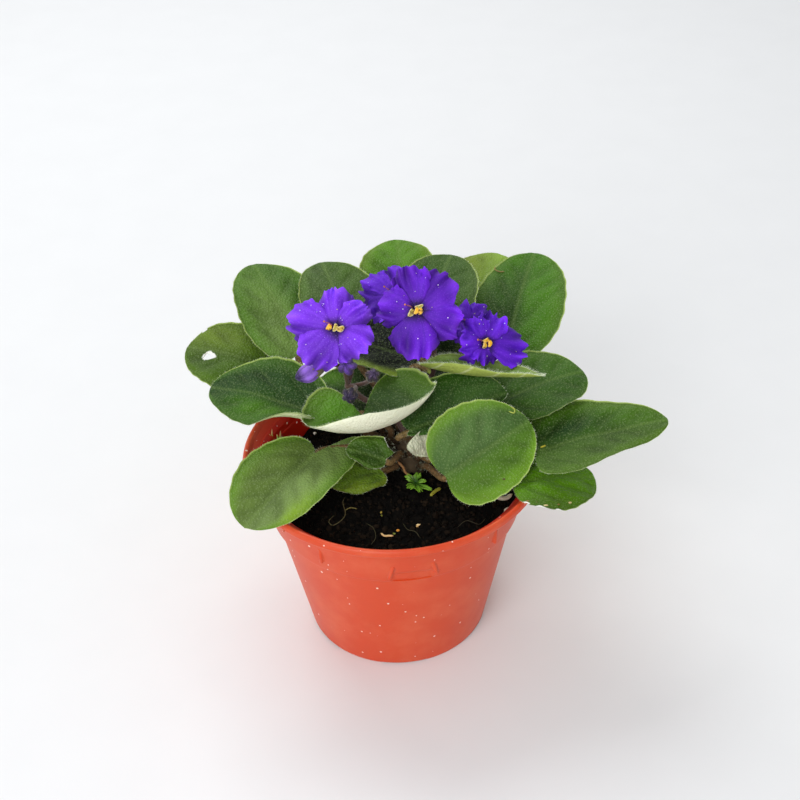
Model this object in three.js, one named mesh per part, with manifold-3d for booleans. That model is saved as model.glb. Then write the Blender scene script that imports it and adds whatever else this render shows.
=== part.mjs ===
// A potted african violet: a plastic nursery pot, potting soil, a short crown, a rosette of
// hairy leaves on long petioles, and ruffled violet blooms with buds above them.
// Millimetres, +Z up. The origin is the middle of the pot's base, and the front faces -Y.
import * as THREE from "three";
import { mergeVertices } from "three/addons/utils/BufferGeometryUtils.js";
import Module from "manifold-3d";

const wasm = await Module();
wasm.setup();

// Driving dimensions of the pot.
const POT_HEIGHT = 88;
const RIM_RADIUS = 63.5;
const BASE_RADIUS = 39.2;
const WALL = 1.5;
const LIP_HEIGHT = 3.6;
const BAND_FOOT = 62;
const BAND_STEP = 1.8;
const SIDE_TOP_RADIUS = 56;
const FOOT_HEIGHT = 2.4;
const FLOOR = 4.2;
const PAD_RADIUS = 11;
const RING_RADIUS = 34.5;
const POT_SIDES = 42;

// Driving dimensions of the soil and the crown.
const SOIL_LEVEL = 75;
const MOUND_HEIGHT = 3;
const MOUND_RADIUS = 22.4;
const DIP_X = -50;
const DIP_Y = 24;
const DIP_DEPTH = 9;
const DIP_RADIUS = 19;
const CROWN_X = 8;
const CROWN_Y = 2;
const CROWN_RADIUS = 6.5;
const CROWN_TOP = 97;
const CROWN_SIDES = 14;
const SEAT_GAP = 0.3;

// Driving dimensions of leaves and blooms.
const BLADE_THICKNESS = 0.8;
const BLADE_WAVE = 0.8;
const LOBE_TURN = 0.45;
const PETIOLE_RADIUS = 1.5;
const PETIOLE_LEAD = 0.12;
const SMALL_LEAF = 31;
const LEAF_GRID = [7, 6];
const SMALL_LEAF_GRID = [6, 4];
const PETIOLE_SIDES = 5;
const PETIOLE_STEPS = 7;
const PETAL_THICKNESS = 0.8;
const PETAL_CLAW = 1.6;
const FRILL_HEIGHT = 1.5;
const FRILL_TURNS = 6;
const TUBE_LENGTH = 5;
const THROAT = 0.8;
const PEDUNCLE_RADIUS = 1.2;
const PEDICEL_RADIUS = 0.9;

const UP = new THREE.Vector3(0, 0, 1);
const radians = THREE.MathUtils.degToRad;
const plant = new THREE.Group();

function finish(color, roughness) {
  return new THREE.MeshStandardMaterial({ color, roughness, metalness: 0 });
}

const FINISHES = {
  pot: finish(0xd9603f, 0.42),
  soil: finish(0x1b1714, 0.95),
  crown: finish(0x7c6a4c, 0.8),
  leaf: finish(0x3f7a35, 0.6),
  petal: finish(0x4b1fb4, 0.65),
  anther: finish(0xe6cf62, 0.6),
  stalk: finish(0x6f5a48, 0.75),
  bud: finish(0x4a3a78, 0.7),
  seedling: finish(0x5fae2b, 0.6),
};

// Adds a named mesh, with its own copy of a finish.
function place(name, geometry, finishName) {
  const mesh = new THREE.Mesh(geometry, FINISHES[finishName].clone());
  mesh.name = name;
  plant.add(mesh);
}

// A closed geometry as a solid that can be joined and cut; faces that have no area are dropped.
function solid(geometry) {
  const bare = new THREE.BufferGeometry();
  bare.setAttribute("position", geometry.getAttribute("position"));
  bare.setIndex(geometry.index);
  const merged = mergeVertices(bare, 1e-4);
  const corners = merged.index.array;
  const kept = [];
  for (let i = 0; i < corners.length; i += 3) {
    const [a, b, c] = [corners[i], corners[i + 1], corners[i + 2]];
    if (a !== b && b !== c && c !== a) kept.push(a, b, c);
  }
  const vertProperties = merged.attributes.position.array;
  const triVerts = new Uint32Array(kept);
  return new wasm.Manifold(new wasm.Mesh({ numProp: 3, vertProperties, triVerts }));
}

// A solid as a geometry.
function geometryOf(made) {
  const mesh = made.getMesh();
  const geometry = new THREE.BufferGeometry();
  geometry.setAttribute("position", new THREE.BufferAttribute(mesh.vertProperties, 3));
  geometry.setIndex(new THREE.BufferAttribute(mesh.triVerts, 1));
  return geometry;
}

function joined(solids) {
  return solids.reduce((whole, piece) => whole.add(piece));
}

// The largest body of a solid, without the loose scraps that a cut can leave.
function largest(made) {
  const bodies = made.decompose();
  return bodies.reduce((best, body) => (body.volume() > best.volume() ? body : best));
}

function boxSolid(width, depth, height, matrix) {
  return solid(new THREE.BoxGeometry(width, depth, height).applyMatrix4(matrix));
}

// A turned solid about +Z; the profile is a list of [radius, height] from the axis and back.
function turned(profile, sides) {
  const points = profile.map(([radius, height]) => new THREE.Vector2(radius, height));
  return new THREE.LatheGeometry(points, sides).rotateX(Math.PI / 2);
}

// A round rod of one thickness along a smooth curve through points.
function rod(points, radius, sides, steps) {
  const corners = [];
  for (let i = 0; i < sides; i++) {
    const angle = (2 * Math.PI * i) / sides;
    corners.push(new THREE.Vector2(radius * Math.cos(angle), radius * Math.sin(angle)));
  }
  const extrudePath = new THREE.CatmullRomCurve3(points);
  return new THREE.ExtrudeGeometry(new THREE.Shape(corners), { steps, extrudePath });
}

// A thin closed sheet: point(i, j) gives { at, normal } on a grid, and both faces are split
// into the same triangles, so that a waved sheet never crosses itself.
function sheet(rows, columns, thickness, point) {
  const positions = [];
  const across = columns + 1;
  const faceSize = (rows + 1) * across;
  for (const offset of [thickness / 2, -thickness / 2]) {
    for (let i = 0; i <= rows; i++) {
      for (let j = 0; j <= columns; j++) {
        const { at, normal } = point(i / rows, j / columns);
        positions.push(...at.clone().addScaledVector(normal, offset).toArray());
      }
    }
  }
  const index = [];
  for (let i = 0; i < rows; i++) {
    for (let j = 0; j < columns; j++) {
      const a = i * across + j;
      const [b, c, d] = [a + 1, a + across, a + across + 1];
      const split = j < columns / 2 ? [a, b, c, b, d, c] : [a, d, c, a, b, d];
      index.push(...split);
      for (let k = 0; k < 6; k += 3) {
        index.push(split[k] + faceSize, split[k + 2] + faceSize, split[k + 1] + faceSize);
      }
    }
  }
  const wall = (a, b) => index.push(a, b + faceSize, b, a, a + faceSize, b + faceSize);
  for (let j = 0; j < columns; j++) {
    wall(j, j + 1);
    wall(rows * across + j + 1, rows * across + j);
  }
  for (let i = 0; i < rows; i++) {
    wall((i + 1) * across, i * across);
    wall(i * across + columns, (i + 1) * across + columns);
  }
  const geometry = new THREE.BufferGeometry();
  geometry.setAttribute("position", new THREE.Float32BufferAttribute(positions, 3));
  geometry.setIndex(index);
  return geometry;
}

// The pot: a thin moulded wall with a raised band under the rolled lip, a flat base with a foot
// ring, drain holes between them, shallow notches in the ring, and stacking ribs on the band.
function outerRadius(height) {
  const slope = (SIDE_TOP_RADIUS - BASE_RADIUS) / (POT_HEIGHT - LIP_HEIGHT);
  return BASE_RADIUS + slope * height + (height > BAND_FOOT ? BAND_STEP : 0);
}

function potSolid() {
  const lipFoot = POT_HEIGHT - LIP_HEIGHT;
  const outside = [
    [0, 0],
    [PAD_RADIUS, 0],
    [PAD_RADIUS + 2, FOOT_HEIGHT],
    [RING_RADIUS - 1.5, FOOT_HEIGHT],
    [RING_RADIUS, 0],
    [BASE_RADIUS - 0.6, 0],
    [BASE_RADIUS, 0.8],
    [outerRadius(BAND_FOOT), BAND_FOOT],
    [outerRadius(BAND_FOOT + 1), BAND_FOOT + 1],
    [outerRadius(lipFoot - 3), lipFoot - 3],
    [RIM_RADIUS - 1.8, lipFoot],
    [RIM_RADIUS - 0.3, lipFoot + 0.3],
    [RIM_RADIUS, lipFoot + 1.2],
    [RIM_RADIUS - 0.3, POT_HEIGHT - 0.8],
    [RIM_RADIUS - 1.2, POT_HEIGHT],
    [RIM_RADIUS - 2.2, POT_HEIGHT - 0.3],
  ];
  const inside = [
    [RIM_RADIUS - 3.4, POT_HEIGHT - 2.2],
    [outerRadius(lipFoot - 3) - WALL, lipFoot - 3],
    [outerRadius(BAND_FOOT + 1) - WALL, BAND_FOOT + 1],
    [outerRadius(BAND_FOOT) - WALL, BAND_FOOT],
    [BASE_RADIUS - WALL, FLOOR],
    [0, FLOOR],
  ];
  let pot = solid(turned([...outside, ...inside], POT_SIDES));

  // Stacking ribs stand on the band: one slim rib between each pair of broad tabs.
  const ribs = 9;
  const firstRib = -83;
  const tabSpread = 9.2;
  const tabLean = 14.7;
  for (let i = 0; i < ribs; i++) {
    const broad = i % 3 === 0;
    const sides = broad ? [-1, 1] : [0];
    for (const side of sides) {
      const turn = radians(firstRib + (360 / ribs) * i + side * tabSpread);
      const height = broad ? 69.5 : 71.5;
      const frame = new THREE.Matrix4().makeRotationZ(turn);
      frame.multiply(new THREE.Matrix4().makeTranslation(outerRadius(height) - 0.4, 0, height));
      frame.multiply(new THREE.Matrix4().makeRotationX(radians(side * tabLean)));
      pot = pot.add(boxSolid(2.6, 1.5, 7, frame));
    }
  }

  // Drain holes through the recessed ring of the base, and notches that let water out.
  const drainHoles = 6;
  const drainRadius = 4;
  const drainPitch = 23;
  const notchTurn = 33;
  for (let i = 0; i < drainHoles; i++) {
    const turn = (2 * Math.PI * i) / drainHoles;
    const hole = new THREE.CylinderGeometry(drainRadius, drainRadius, 12, 12).rotateX(Math.PI / 2);
    hole.translate(drainPitch * Math.cos(turn), drainPitch * Math.sin(turn), 3);
    pot = pot.subtract(solid(hole));
    const notch = new THREE.Matrix4().makeRotationZ(turn + radians(notchTurn));
    notch.multiply(new THREE.Matrix4().makeTranslation(RING_RADIUS + 2.5, 0, 0));
    pot = pot.subtract(boxSolid(12, 20, 1.8, notch));
  }
  return pot;
}

// The soil: a plug that fills the pot to below its rim. Its crumbly top is mounded at the crown,
// and has sunk beside the wall on the left.
function soilHeight(x, y) {
  const away = Math.hypot(x - CROWN_X, y - CROWN_Y);
  const mound = MOUND_HEIGHT * Math.exp(-((away / MOUND_RADIUS) ** 2));
  const crumbs = Math.sin(x * 0.34 + 1.1) * Math.cos(y * 0.29) + 0.6 * Math.sin(x * 0.71 - y * 0.53);
  const fromDip = Math.hypot(x - DIP_X, y - DIP_Y) / DIP_RADIUS;
  const dip = DIP_DEPTH * Math.exp(-(fromDip ** 2));
  return SOIL_LEVEL + mound + 0.6 * crumbs - dip;
}

function soilSolid(holes) {
  const rings = 6;
  const sides = 32;
  const floorRadius = BASE_RADIUS - WALL - SEAT_GAP - 0.4;
  const bandRadius = outerRadius(BAND_FOOT) - WALL - SEAT_GAP - 0.4;
  const topRadius = outerRadius(SOIL_LEVEL) - WALL - SEAT_GAP - 0.6;
  const bottom = FLOOR + SEAT_GAP;
  const profile = [[0, bottom], [floorRadius, bottom], [bandRadius, BAND_FOOT]];
  for (let i = rings; i >= 0; i--) profile.push([(topRadius * i) / rings, SOIL_LEVEL]);
  const geometry = turned(profile, sides);
  const position = geometry.getAttribute("position");
  for (let i = 0; i < position.count; i++) {
    if (Math.abs(position.getZ(i) - SOIL_LEVEL) < 0.01) {
      const [x, y] = [position.getX(i), position.getY(i)];
      const height = soilHeight(x, y);
      const wallRadius = outerRadius(Math.max(height, BAND_FOOT + 1)) - WALL - SEAT_GAP - 0.6;
      const inward = Math.min(1, wallRadius / Math.max(Math.hypot(x, y), 1));
      position.setXYZ(i, x * inward, y * inward, height);
    }
  }
  return holes.reduce((soil, hole) => soil.subtract(hole), solid(geometry));
}

// The crown: the short stem that all leaves and flower stalks grow from, in a hole in the soil.
function crownSolid(grow) {
  const foot = SOIL_LEVEL - 9;
  const radius = CROWN_RADIUS + grow;
  const profile = [
    [0, foot - grow],
    [radius - 2.5, foot - grow],
    [radius, foot + 4],
    [radius, CROWN_TOP - 8],
    [radius - 2, CROWN_TOP - 2],
    [radius - 4.5, CROWN_TOP + grow],
    [0, CROWN_TOP + grow],
  ];
  return solid(turned(profile, CROWN_SIDES).translate(CROWN_X, CROWN_Y, 0));
}

// Each leaf grows from the crown at height root. Its petiole meets the blade at joint, and the
// blade runs from there to tip. left and right are its half widths, seen along it from above.
// roll lifts the left side; arch bends the blade down along its length; the cups lift each edge;
// curlLeft rolls the left edge up near the petiole; blunt sets how near the base it is widest;
// lobe is how far its two lobes reach back beside the petiole, or lobeRight for the right one;
// worn lists round holes and bites as [x, y, radius]. aside turns the petiole's foot round the
// crown, lead is where it comes up under the blade, as a share of the blade's length, and sag
// lifts its middle. Angles are in degrees. A leaf narrower than SMALL_LEAF has fewer faces.
const LEAVES = [
  { name: "leaf_far_left", root: 79, joint: [-53, 40, 104], tip: [-89, 50, 109],
    left: 21, right: 20, roll: -6, arch: 30, cupLeft: -10, cupRight: 10, blunt: 0.9, lobe: 0.1,
    worn: [[-79, 43, 2.6], [-83, 61, 2.4]] },
  { name: "leaf_upper_left", root: 84, joint: [-40, 42, 109], tip: [-61, 88, 127],
    left: 19, right: 21, roll: 4, arch: 30, cupLeft: 5, cupRight: 5, blunt: 0.9, lobe: 0.1 },
  { name: "leaf_left", root: 88, joint: [-31, 7, 103], tip: [-76, 18, 110], curlLeft: 96,
    left: 21.8, right: 24, roll: -2, arch: 20, cupLeft: 10, cupRight: 15, blunt: 0.85, lobe: 0.08 },
  { name: "leaf_front_cupped", root: 92, joint: [-12, 0, 105.5], tip: [-9, -18, 121.5],
    left: 35, right: 27, roll: 2, arch: -110, cupLeft: 52, cupRight: 38, blunt: 1, lobe: 1.1,
    lobeRight: 1 },
  { name: "leaf_back_left", root: 89, joint: [-17, 43, 114], tip: [-30, 88, 127],
    left: 17, right: 22, roll: 4, arch: 25, cupLeft: 8, cupRight: 5, blunt: 0.9, lobe: 0.1 },
  { name: "leaf_back_top", root: 80, joint: [4, 76, 110], tip: [5, 116, 121],
    left: 18, right: 18, roll: 0, arch: 30, cupLeft: 5, cupRight: 5, blunt: 0.9, lobe: 0.1 },
  { name: "leaf_back_right", root: 86, joint: [13, 50, 112], tip: [29, 91, 127],
    left: 20, right: 20, roll: 0, arch: 25, cupLeft: 5, cupRight: 8, blunt: 0.9, lobe: 0.1 },
  { name: "leaf_far_back_right", root: 81, joint: [34, 62, 102], tip: [50, 108, 117],
    left: 20, right: 20, roll: 0, arch: 25, cupLeft: 5, cupRight: 5, blunt: 0.9, lobe: 0.1 },
  { name: "leaf_upper_right", root: 84, joint: [50, 44, 104], tip: [67, 97, 123],
    left: 20, right: 22, roll: -4, arch: 25, cupLeft: 8, cupRight: 8, blunt: 0.9, lobe: 0.1 },
  { name: "leaf_right", root: 88, joint: [44, 9, 104], tip: [82, 25, 107],
    left: 21, right: 19, roll: 6, arch: 25, cupLeft: 10, cupRight: 10, blunt: 0.9, lobe: 0.1 },
  { name: "leaf_right_edge_on", root: 93, joint: [20, 12, 118], tip: [62, 2, 123], aside: 2,
    left: 7, right: 16, roll: -56, arch: 10, cupLeft: 0, cupRight: 15, blunt: 0.75, lobe: 0.1 },
  { name: "leaf_shaded", root: 90, joint: [14, -3, 101], tip: [50, 13, 109], aside: 8,
    left: 10.5, right: 12, roll: 0, arch: 20, cupLeft: 5, cupRight: 22, blunt: 1, lobe: 0.1,
    lobeRight: 0.4 },
  { name: "leaf_centre_back", root: 93, joint: [11, 31.3, 112.7], tip: [-21, 37.3, 119.3], aside: 27,
    left: 15.5, right: 26, roll: -15, arch: 15, cupLeft: 55, cupRight: 5, blunt: 0.9, lobe: 0.1 },
  { name: "leaf_inner_left", root: 92, joint: [-9, 17, 98], tip: [-33, 22, 102], aside: 6,
    left: 8, right: 16.5, roll: -5, arch: 20, cupLeft: 5, cupRight: 5, blunt: 0.85, lobe: 0.05 },
  { name: "leaf_inner_right", root: 88, joint: [23, 27, 98], tip: [34, 52, 105],
    left: 14, right: 10, roll: 0, arch: 20, cupLeft: 10, cupRight: 10, blunt: 0.85, lobe: 0.08 },
  { name: "leaf_inner_front", root: 87, joint: [13.5, -10.3, 91.8], tip: [5.5, -14.3, 101.5], aside: -16,
    left: 8, right: 6, roll: 0, arch: 15, cupLeft: 15, cupRight: 15, blunt: 1.4, lobe: 0.03 },
  { name: "leaf_front_round", root: 82, joint: [21, -25, 93], tip: [56, -8, 107], lead: 0.02,
    left: 22, right: 20, roll: 35, arch: 20, cupLeft: 8, cupRight: 14, blunt: 0.85, lobe: 0.1 },
  { name: "leaf_long_right", root: 84, joint: [57, -17, 98], tip: [113, -6, 104],
    left: 23, right: 19, roll: 5, arch: 14, cupLeft: 4, cupRight: 18, blunt: 0.62, lobe: 0.05 },
  { name: "leaf_low_right", root: 80, joint: [48, -27, 91], tip: [82, -21, 87],
    left: 16, right: 21, roll: 2, arch: 20, cupLeft: 4, cupRight: 8, blunt: 0.9, lobe: 0.08 },
  { name: "leaf_front_left", root: 85, joint: [-29, -10, 98], tip: [-59, -49, 90], sag: 3,
    left: 20, right: 19, roll: -12, arch: 30, cupLeft: 8, cupRight: 12, blunt: 1, lobe: 0.3 },
  { name: "leaf_small_cut", root: 88, joint: [-3, -15, 95], tip: [-19, -12, 99],
    left: 9, right: 9, roll: -20, arch: 20, cupLeft: 8, cupRight: 8, blunt: 0.8, lobe: 0.05 },
  { name: "leaf_small_low", root: 81, joint: [-6, -9, 85], tip: [-26, -20, 86],
    left: 11, right: 10, roll: -8, arch: 20, cupLeft: 8, cupRight: 8, blunt: 0.85, lobe: 0.08 },
];

function vector(list) {
  return new THREE.Vector3(...list);
}

// The frame of a leaf: along its chord, across to its left, and up from its face.
function leafFrame(leaf) {
  const start = vector(leaf.joint);
  const chord = vector(leaf.tip).sub(start);
  const along = chord.clone().normalize();
  const face = UP.clone().addScaledVector(along, -UP.dot(along)).normalize();
  const across = new THREE.Vector3().crossVectors(face, along);
  const roll = radians(leaf.roll);
  const left = across.clone().multiplyScalar(Math.cos(roll)).addScaledVector(face, Math.sin(roll));
  const normal = face.clone().multiplyScalar(Math.cos(roll)).addScaledVector(across, -Math.sin(roll));
  const bend = radians(leaf.arch);
  const length = (chord.length() * bend) / 2 / Math.sin(bend / 2);
  return { start, along, left, normal, bend, length };
}

// A point of a bent blade: x is the distance along its midrib, y the distance across it. Behind
// the joint (x below 0) the blade runs on straight.
function bentPoint(leaf, frame, x, y, lift) {
  const { start, along, left, normal, bend, length } = frame;
  const behind = Math.min(x, 0);
  const slope = bend / 2 - (bend * (x - behind)) / length;
  const reach = (length / bend) * (Math.sin(bend / 2) - Math.sin(slope)) + behind * Math.cos(bend / 2);
  const rise = (length / bend) * (Math.cos(slope) - Math.cos(bend / 2)) + behind * Math.sin(bend / 2);
  const side = Math.sign(y);
  const half = side > 0 ? leaf.left : leaf.right;
  const curl = side > 0 ? (leaf.curlLeft ?? 0) * Math.max(0, 1 - x / (0.5 * length)) : 0;
  const cup = radians((side > 0 ? leaf.cupLeft : leaf.cupRight) + curl);
  const turn = (cup * Math.abs(y)) / half;
  const far = Math.abs(cup) < 1e-3 ? Math.abs(y) : (half / cup) * Math.sin(turn);
  const high = Math.abs(cup) < 1e-3 ? 0 : (half / cup) * (1 - Math.cos(turn));
  const face = normal.clone().multiplyScalar(Math.cos(slope)).addScaledVector(along, -Math.sin(slope));
  const out = face.clone().multiplyScalar(Math.cos(turn)).addScaledVector(left, -side * Math.sin(turn));
  const at = start.clone().addScaledVector(along, reach).addScaledVector(normal, rise);
  at.addScaledVector(left, side * far).addScaledVector(face, high).addScaledVector(out, lift);
  return { at, normal: out };
}

// The outline runs from the petiole (turn 0) round one side to the tip (turn pi): a heart shape
// whose lobes reach back, with a soft wave that grows towards the edge.
function bladePoint(leaf, frame, u, v) {
  const turn = Math.PI * u;
  const { length } = frame;
  const side = v < 0.5 ? 1 : -1;
  const lobe = side > 0 ? leaf.lobe : (leaf.lobeRight ?? leaf.lobe);
  const back = lobe * (turn / LOBE_TURN) * Math.exp(1 - turn / LOBE_TURN);
  const rimX = length * ((1 - Math.cos(turn)) / 2 - back * Math.sin(turn / 2 + 0.5));
  const ribX = length * ((1 - Math.cos(turn)) / 2) ** 1.25;
  const share = Math.abs(2 * v - 1);
  const half = side > 0 ? leaf.left : leaf.right;
  const rimY = half * Math.sin(Math.PI * u ** leaf.blunt);
  const ripple = Math.sin(turn) * Math.sin(turn * 5 + side + leaf.joint[0]);
  const lift = BLADE_WAVE * share ** 2 * ripple;
  const x = ribX + (rimX - ribX) * share;
  return bentPoint(leaf, frame, x, side * rimY * share, lift);
}

// The petiole leaves the crown upwards and outwards, and ends under the blade as its midrib.
function petiole(leaf, frame) {
  const { start, length } = frame;
  const away = Math.atan2(start.y - CROWN_Y, start.x - CROWN_X);
  const angle = away + radians(leaf.aside ?? 0);
  const ringX = (radius) => CROWN_X + radius * Math.cos(angle);
  const ringY = (radius) => CROWN_Y + radius * Math.sin(angle);
  const under = 0.15 - PETIOLE_RADIUS;
  const reach = Math.hypot(start.x - CROWN_X, start.y - CROWN_Y);
  const lead = bentPoint(leaf, frame, -(leaf.lead ?? PETIOLE_LEAD) * length, 0, under - 0.4).at;
  const middle = new THREE.Vector3(ringX(reach * 0.45), ringY(reach * 0.45), 0);
  middle.z = leaf.root + (lead.z - leaf.root) * 0.5 + (leaf.sag ?? 0);
  const points = [
    new THREE.Vector3(ringX(CROWN_RADIUS - 2), ringY(CROWN_RADIUS - 2), leaf.root - 1),
    new THREE.Vector3(ringX(CROWN_RADIUS + 2), ringY(CROWN_RADIUS + 2), leaf.root + 1),
    middle,
    lead,
    bentPoint(leaf, frame, 0.02 * length, 0, under).at,
    bentPoint(leaf, frame, 0.2 * length, 0, under).at,
  ];
  return solid(rod(points, PETIOLE_RADIUS, PETIOLE_SIDES, PETIOLE_STEPS));
}

function leafSolid(leaf, crownSeat) {
  const frame = leafFrame(leaf);
  const [rows, columns] = leaf.left + leaf.right < SMALL_LEAF ? SMALL_LEAF_GRID : LEAF_GRID;
  const blade = sheet(rows, columns, BLADE_THICKNESS, (u, v) => bladePoint(leaf, frame, u, v));
  let whole = solid(blade).add(petiole(leaf, frame)).subtract(crownSeat);
  for (const [x, y, radius] of leaf.worn ?? []) {
    const bite = new THREE.CylinderGeometry(radius, radius, 60, 9).rotateX(Math.PI / 2);
    whole = whole.subtract(solid(bite.translate(x, y, leaf.joint[2])));
  }
  return largest(whole);
}

// The frame of a bloom or bud: out the way it faces, to its right, and up. Turn is the compass
// angle from the front towards +X, and tilt the angle above level, in degrees.
function facingFrame(centre, turn, tilt) {
  const [a, b] = [radians(turn), radians(tilt)];
  const out = new THREE.Vector3(Math.sin(a) * Math.cos(b), -Math.cos(a) * Math.cos(b), Math.sin(b));
  const right = new THREE.Vector3(Math.cos(a), Math.sin(a), 0);
  const up = new THREE.Vector3().crossVectors(out, right);
  return { centre: vector(centre), out, right, up };
}

function placed(geometry, frame) {
  const matrix = new THREE.Matrix4().makeBasis(frame.right, frame.up, frame.out);
  return geometry.applyMatrix4(matrix.setPosition(frame.centre));
}

// Petals are [angle, length, half width], the angle counted from the bloom's right through up.
const BLOOMS = [
  { name: "left", columns: 6, centre: [-21, 6, 146], turn: -6, tilt: 38,
    petals: [[80, 17, 8], [28, 15, 8], [-48, 16, 9], [-118, 18, 9], [166, 19, 9]] },
  { name: "middle", columns: 6, centre: [11, 8, 152], turn: 0, tilt: 36,
    petals: [[104, 19, 9], [47, 20, 9], [-12, 19, 10], [-94, 19, 11], [172, 16, 9]] },
  { name: "right", columns: 6, centre: [39, 17, 127.5], turn: 25, tilt: 36,
    petals: [[90, 12, 8], [25, 15, 9], [-35, 19, 9], [-110, 9, 7], [165, 13, 8]] },
  { name: "back_left", columns: 5, centre: [-3, 32, 142], turn: -24, tilt: 50,
    petals: [[90, 13, 8], [18, 11, 7], [-54, 12, 7], [-126, 13, 8], [162, 14, 8]] },
  { name: "back_right", columns: 5, centre: [34, 32, 131], turn: 20, tilt: 55,
    petals: [[90, 11, 7], [18, 11, 7], [-54, 9, 6], [-126, 9, 6], [162, 11, 7]] },
];

// A petal fans out from the throat, bows forward, and ends in a frilled, waved edge.
function petalPoint(frame, petal, layer, u, v) {
  const [angle, length, half] = petal;
  const side = 1 - 2 * v;
  const scallop = 0.7 * u * u * Math.cos(1.5 * FRILL_TURNS * side + angle);
  const along = 1 + (length - 1) * u * (1 - 0.2 * side * side * u) + scallop;
  const aside = side * (PETAL_CLAW + (half - PETAL_CLAW) * Math.sin(1.75 * u));
  const edge = Math.sqrt(Math.abs(side) + 0.15);
  const frill = FRILL_HEIGHT * u * u * edge * Math.sin(FRILL_TURNS * side + angle);
  const bow = 1.6 * u - 2.6 * u * u;
  const lift = 0.4 + bow + layer + frill;
  const [c, s] = [Math.cos(radians(angle)), Math.sin(radians(angle))];
  const at = frame.centre.clone().addScaledVector(frame.right, along * c - aside * s);
  at.addScaledVector(frame.up, along * s + aside * c).addScaledVector(frame.out, lift);
  return { at, normal: frame.out };
}

function bloomSolid(bloom) {
  const frame = facingFrame(bloom.centre, bloom.turn, bloom.tilt);
  const tube = [[0, -TUBE_LENGTH], [1.5, -TUBE_LENGTH], [2.1, -1], [2.9, THROAT], [0, THROAT]];
  const pieces = [solid(placed(turned(tube, 8), frame))];
  bloom.petals.forEach((petal, i) => {
    const layer = i % 2 ? 0.7 : 0;
    const point = (u, v) => petalPoint(frame, petal, layer, u, v);
    pieces.push(solid(sheet(3, bloom.columns, PETAL_THICKNESS, point)));
  });
  return largest(joined(pieces));
}

// Two yellow anthers joined face to face, just clear of the throat.
function anthersSolid(bloom) {
  const frame = facingFrame(bloom.centre, bloom.turn, bloom.tilt);
  const lobes = [-1, 1].map((side) => {
    const lobe = new THREE.SphereGeometry(1.5, 6, 4).scale(1.15, 0.9, 0.8);
    return solid(placed(lobe.translate(1.3 * side, 0.3 * side, THROAT + 2.1), frame));
  });
  return joined(lobes);
}

// Buds: long and half open, or short and still closed.
const BUDS = [
  { name: "opening", centre: [-33, 5, 127], turn: -70, tilt: -10, length: 11, radius: 4 },
  { name: "violet", centre: [-17, 9, 125], turn: -10, tilt: 40, length: 9, radius: 3.6 },
  { name: "hairy", centre: [-8, 5, 122], turn: 20, tilt: 50, length: 6.5, radius: 2.6 },
  { name: "dark", centre: [-16, 0, 118], turn: -15, tilt: 20, length: 7, radius: 3 },
];

// A bud is an egg of folded petals, with ridges that turn round it.
function budSolid(bud) {
  const profile = [[0, 0], [0.55, 0.05], [1, 0.4], [0.8, 0.75], [0.35, 0.96], [0, 1]];
  const scaled = profile.map(([r, z]) => [r * bud.radius, z * bud.length]);
  const geometry = turned(scaled, 10);
  const position = geometry.getAttribute("position");
  for (let i = 0; i < position.count; i++) {
    const [x, y, z] = [position.getX(i), position.getY(i), position.getZ(i)];
    const ridge = 1 + 0.12 * Math.sin(5 * Math.atan2(y, x) + (3 * z) / bud.length);
    position.setXY(i, x * ridge, y * ridge);
  }
  return solid(placed(geometry, facingFrame(bud.centre, bud.turn, bud.tilt)));
}

// Each flower stalk leaves the crown, forks, and sends a pedicel with a calyx to each bloom or
// bud; the calyx cup stops just short of what it holds.
const STALKS = [
  { name: "left", root: [5, 4, 94], route: [[0, 9, 101], [-12, 11, 107]], fork: [-18, 12, 113],
    blooms: ["left"], buds: ["opening", "violet", "hairy", "dark"] },
  { name: "middle", root: [8, 5, 94], route: [[9, 12, 97], [18, 31, 106], [18, 31, 120]],
    fork: [13, 23, 133], blooms: ["middle", "back_left"], buds: [] },
  { name: "right", root: [12, 1, 94], route: [[19, 7, 96], [25, 20, 99], [28, 31, 106]],
    fork: [31, 31, 116], blooms: ["right", "back_right"], buds: [] },
];

function pedicelPieces(fork, item, seatDepth, cupRadius) {
  const frame = facingFrame(item.centre, item.turn, item.tilt);
  const behind = (depth) => frame.centre.clone().addScaledVector(frame.out, -depth);
  const seat = seatDepth + SEAT_GAP;
  const cup = [[0, -seat - 3.4], [0.9, -seat - 3.4], [cupRadius, -seat - 1], [cupRadius, -seat], [0, -seat]];
  const start = vector(fork);
  const swing = behind(seat + 9).lerp(start, 0.3);
  const path = [start, swing, behind(seat + 5), behind(seat + 1.5)];
  return [solid(rod(path, PEDICEL_RADIUS, 4, 6)), solid(placed(turned(cup, 6), frame))];
}

function stalkSolid(stalk, seat) {
  const path = [stalk.root, ...stalk.route, stalk.fork].map(vector);
  const pieces = [solid(rod(path, PEDUNCLE_RADIUS, 5, 9))];
  pieces.push(solid(new THREE.SphereGeometry(1.6, 6, 4).translate(...stalk.fork)));
  for (const name of stalk.blooms) {
    const bloom = BLOOMS.find((one) => one.name === name);
    pieces.push(...pedicelPieces(stalk.fork, bloom, TUBE_LENGTH, 2.4));
  }
  for (const name of stalk.buds) {
    const bud = BUDS.find((one) => one.name === name);
    pieces.push(...pedicelPieces(stalk.fork, bud, 0, bud.radius * 0.6));
  }
  return largest(joined(pieces).subtract(seat));
}

// A self-sown fern seedling in front of the crown: frilled fronds fused on one stem. Each frond
// is [angle from +X, reach, rise].
const SEEDLING = { x: 11, y: -14, stemRadius: 0.8, hole: 5 };
const FRONDS = [[15, 5, 4], [80, 4, 5], [140, 5, 4], [-140, 5, 2], [-80, 4, 1], [-42, 9, 1]];

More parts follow.
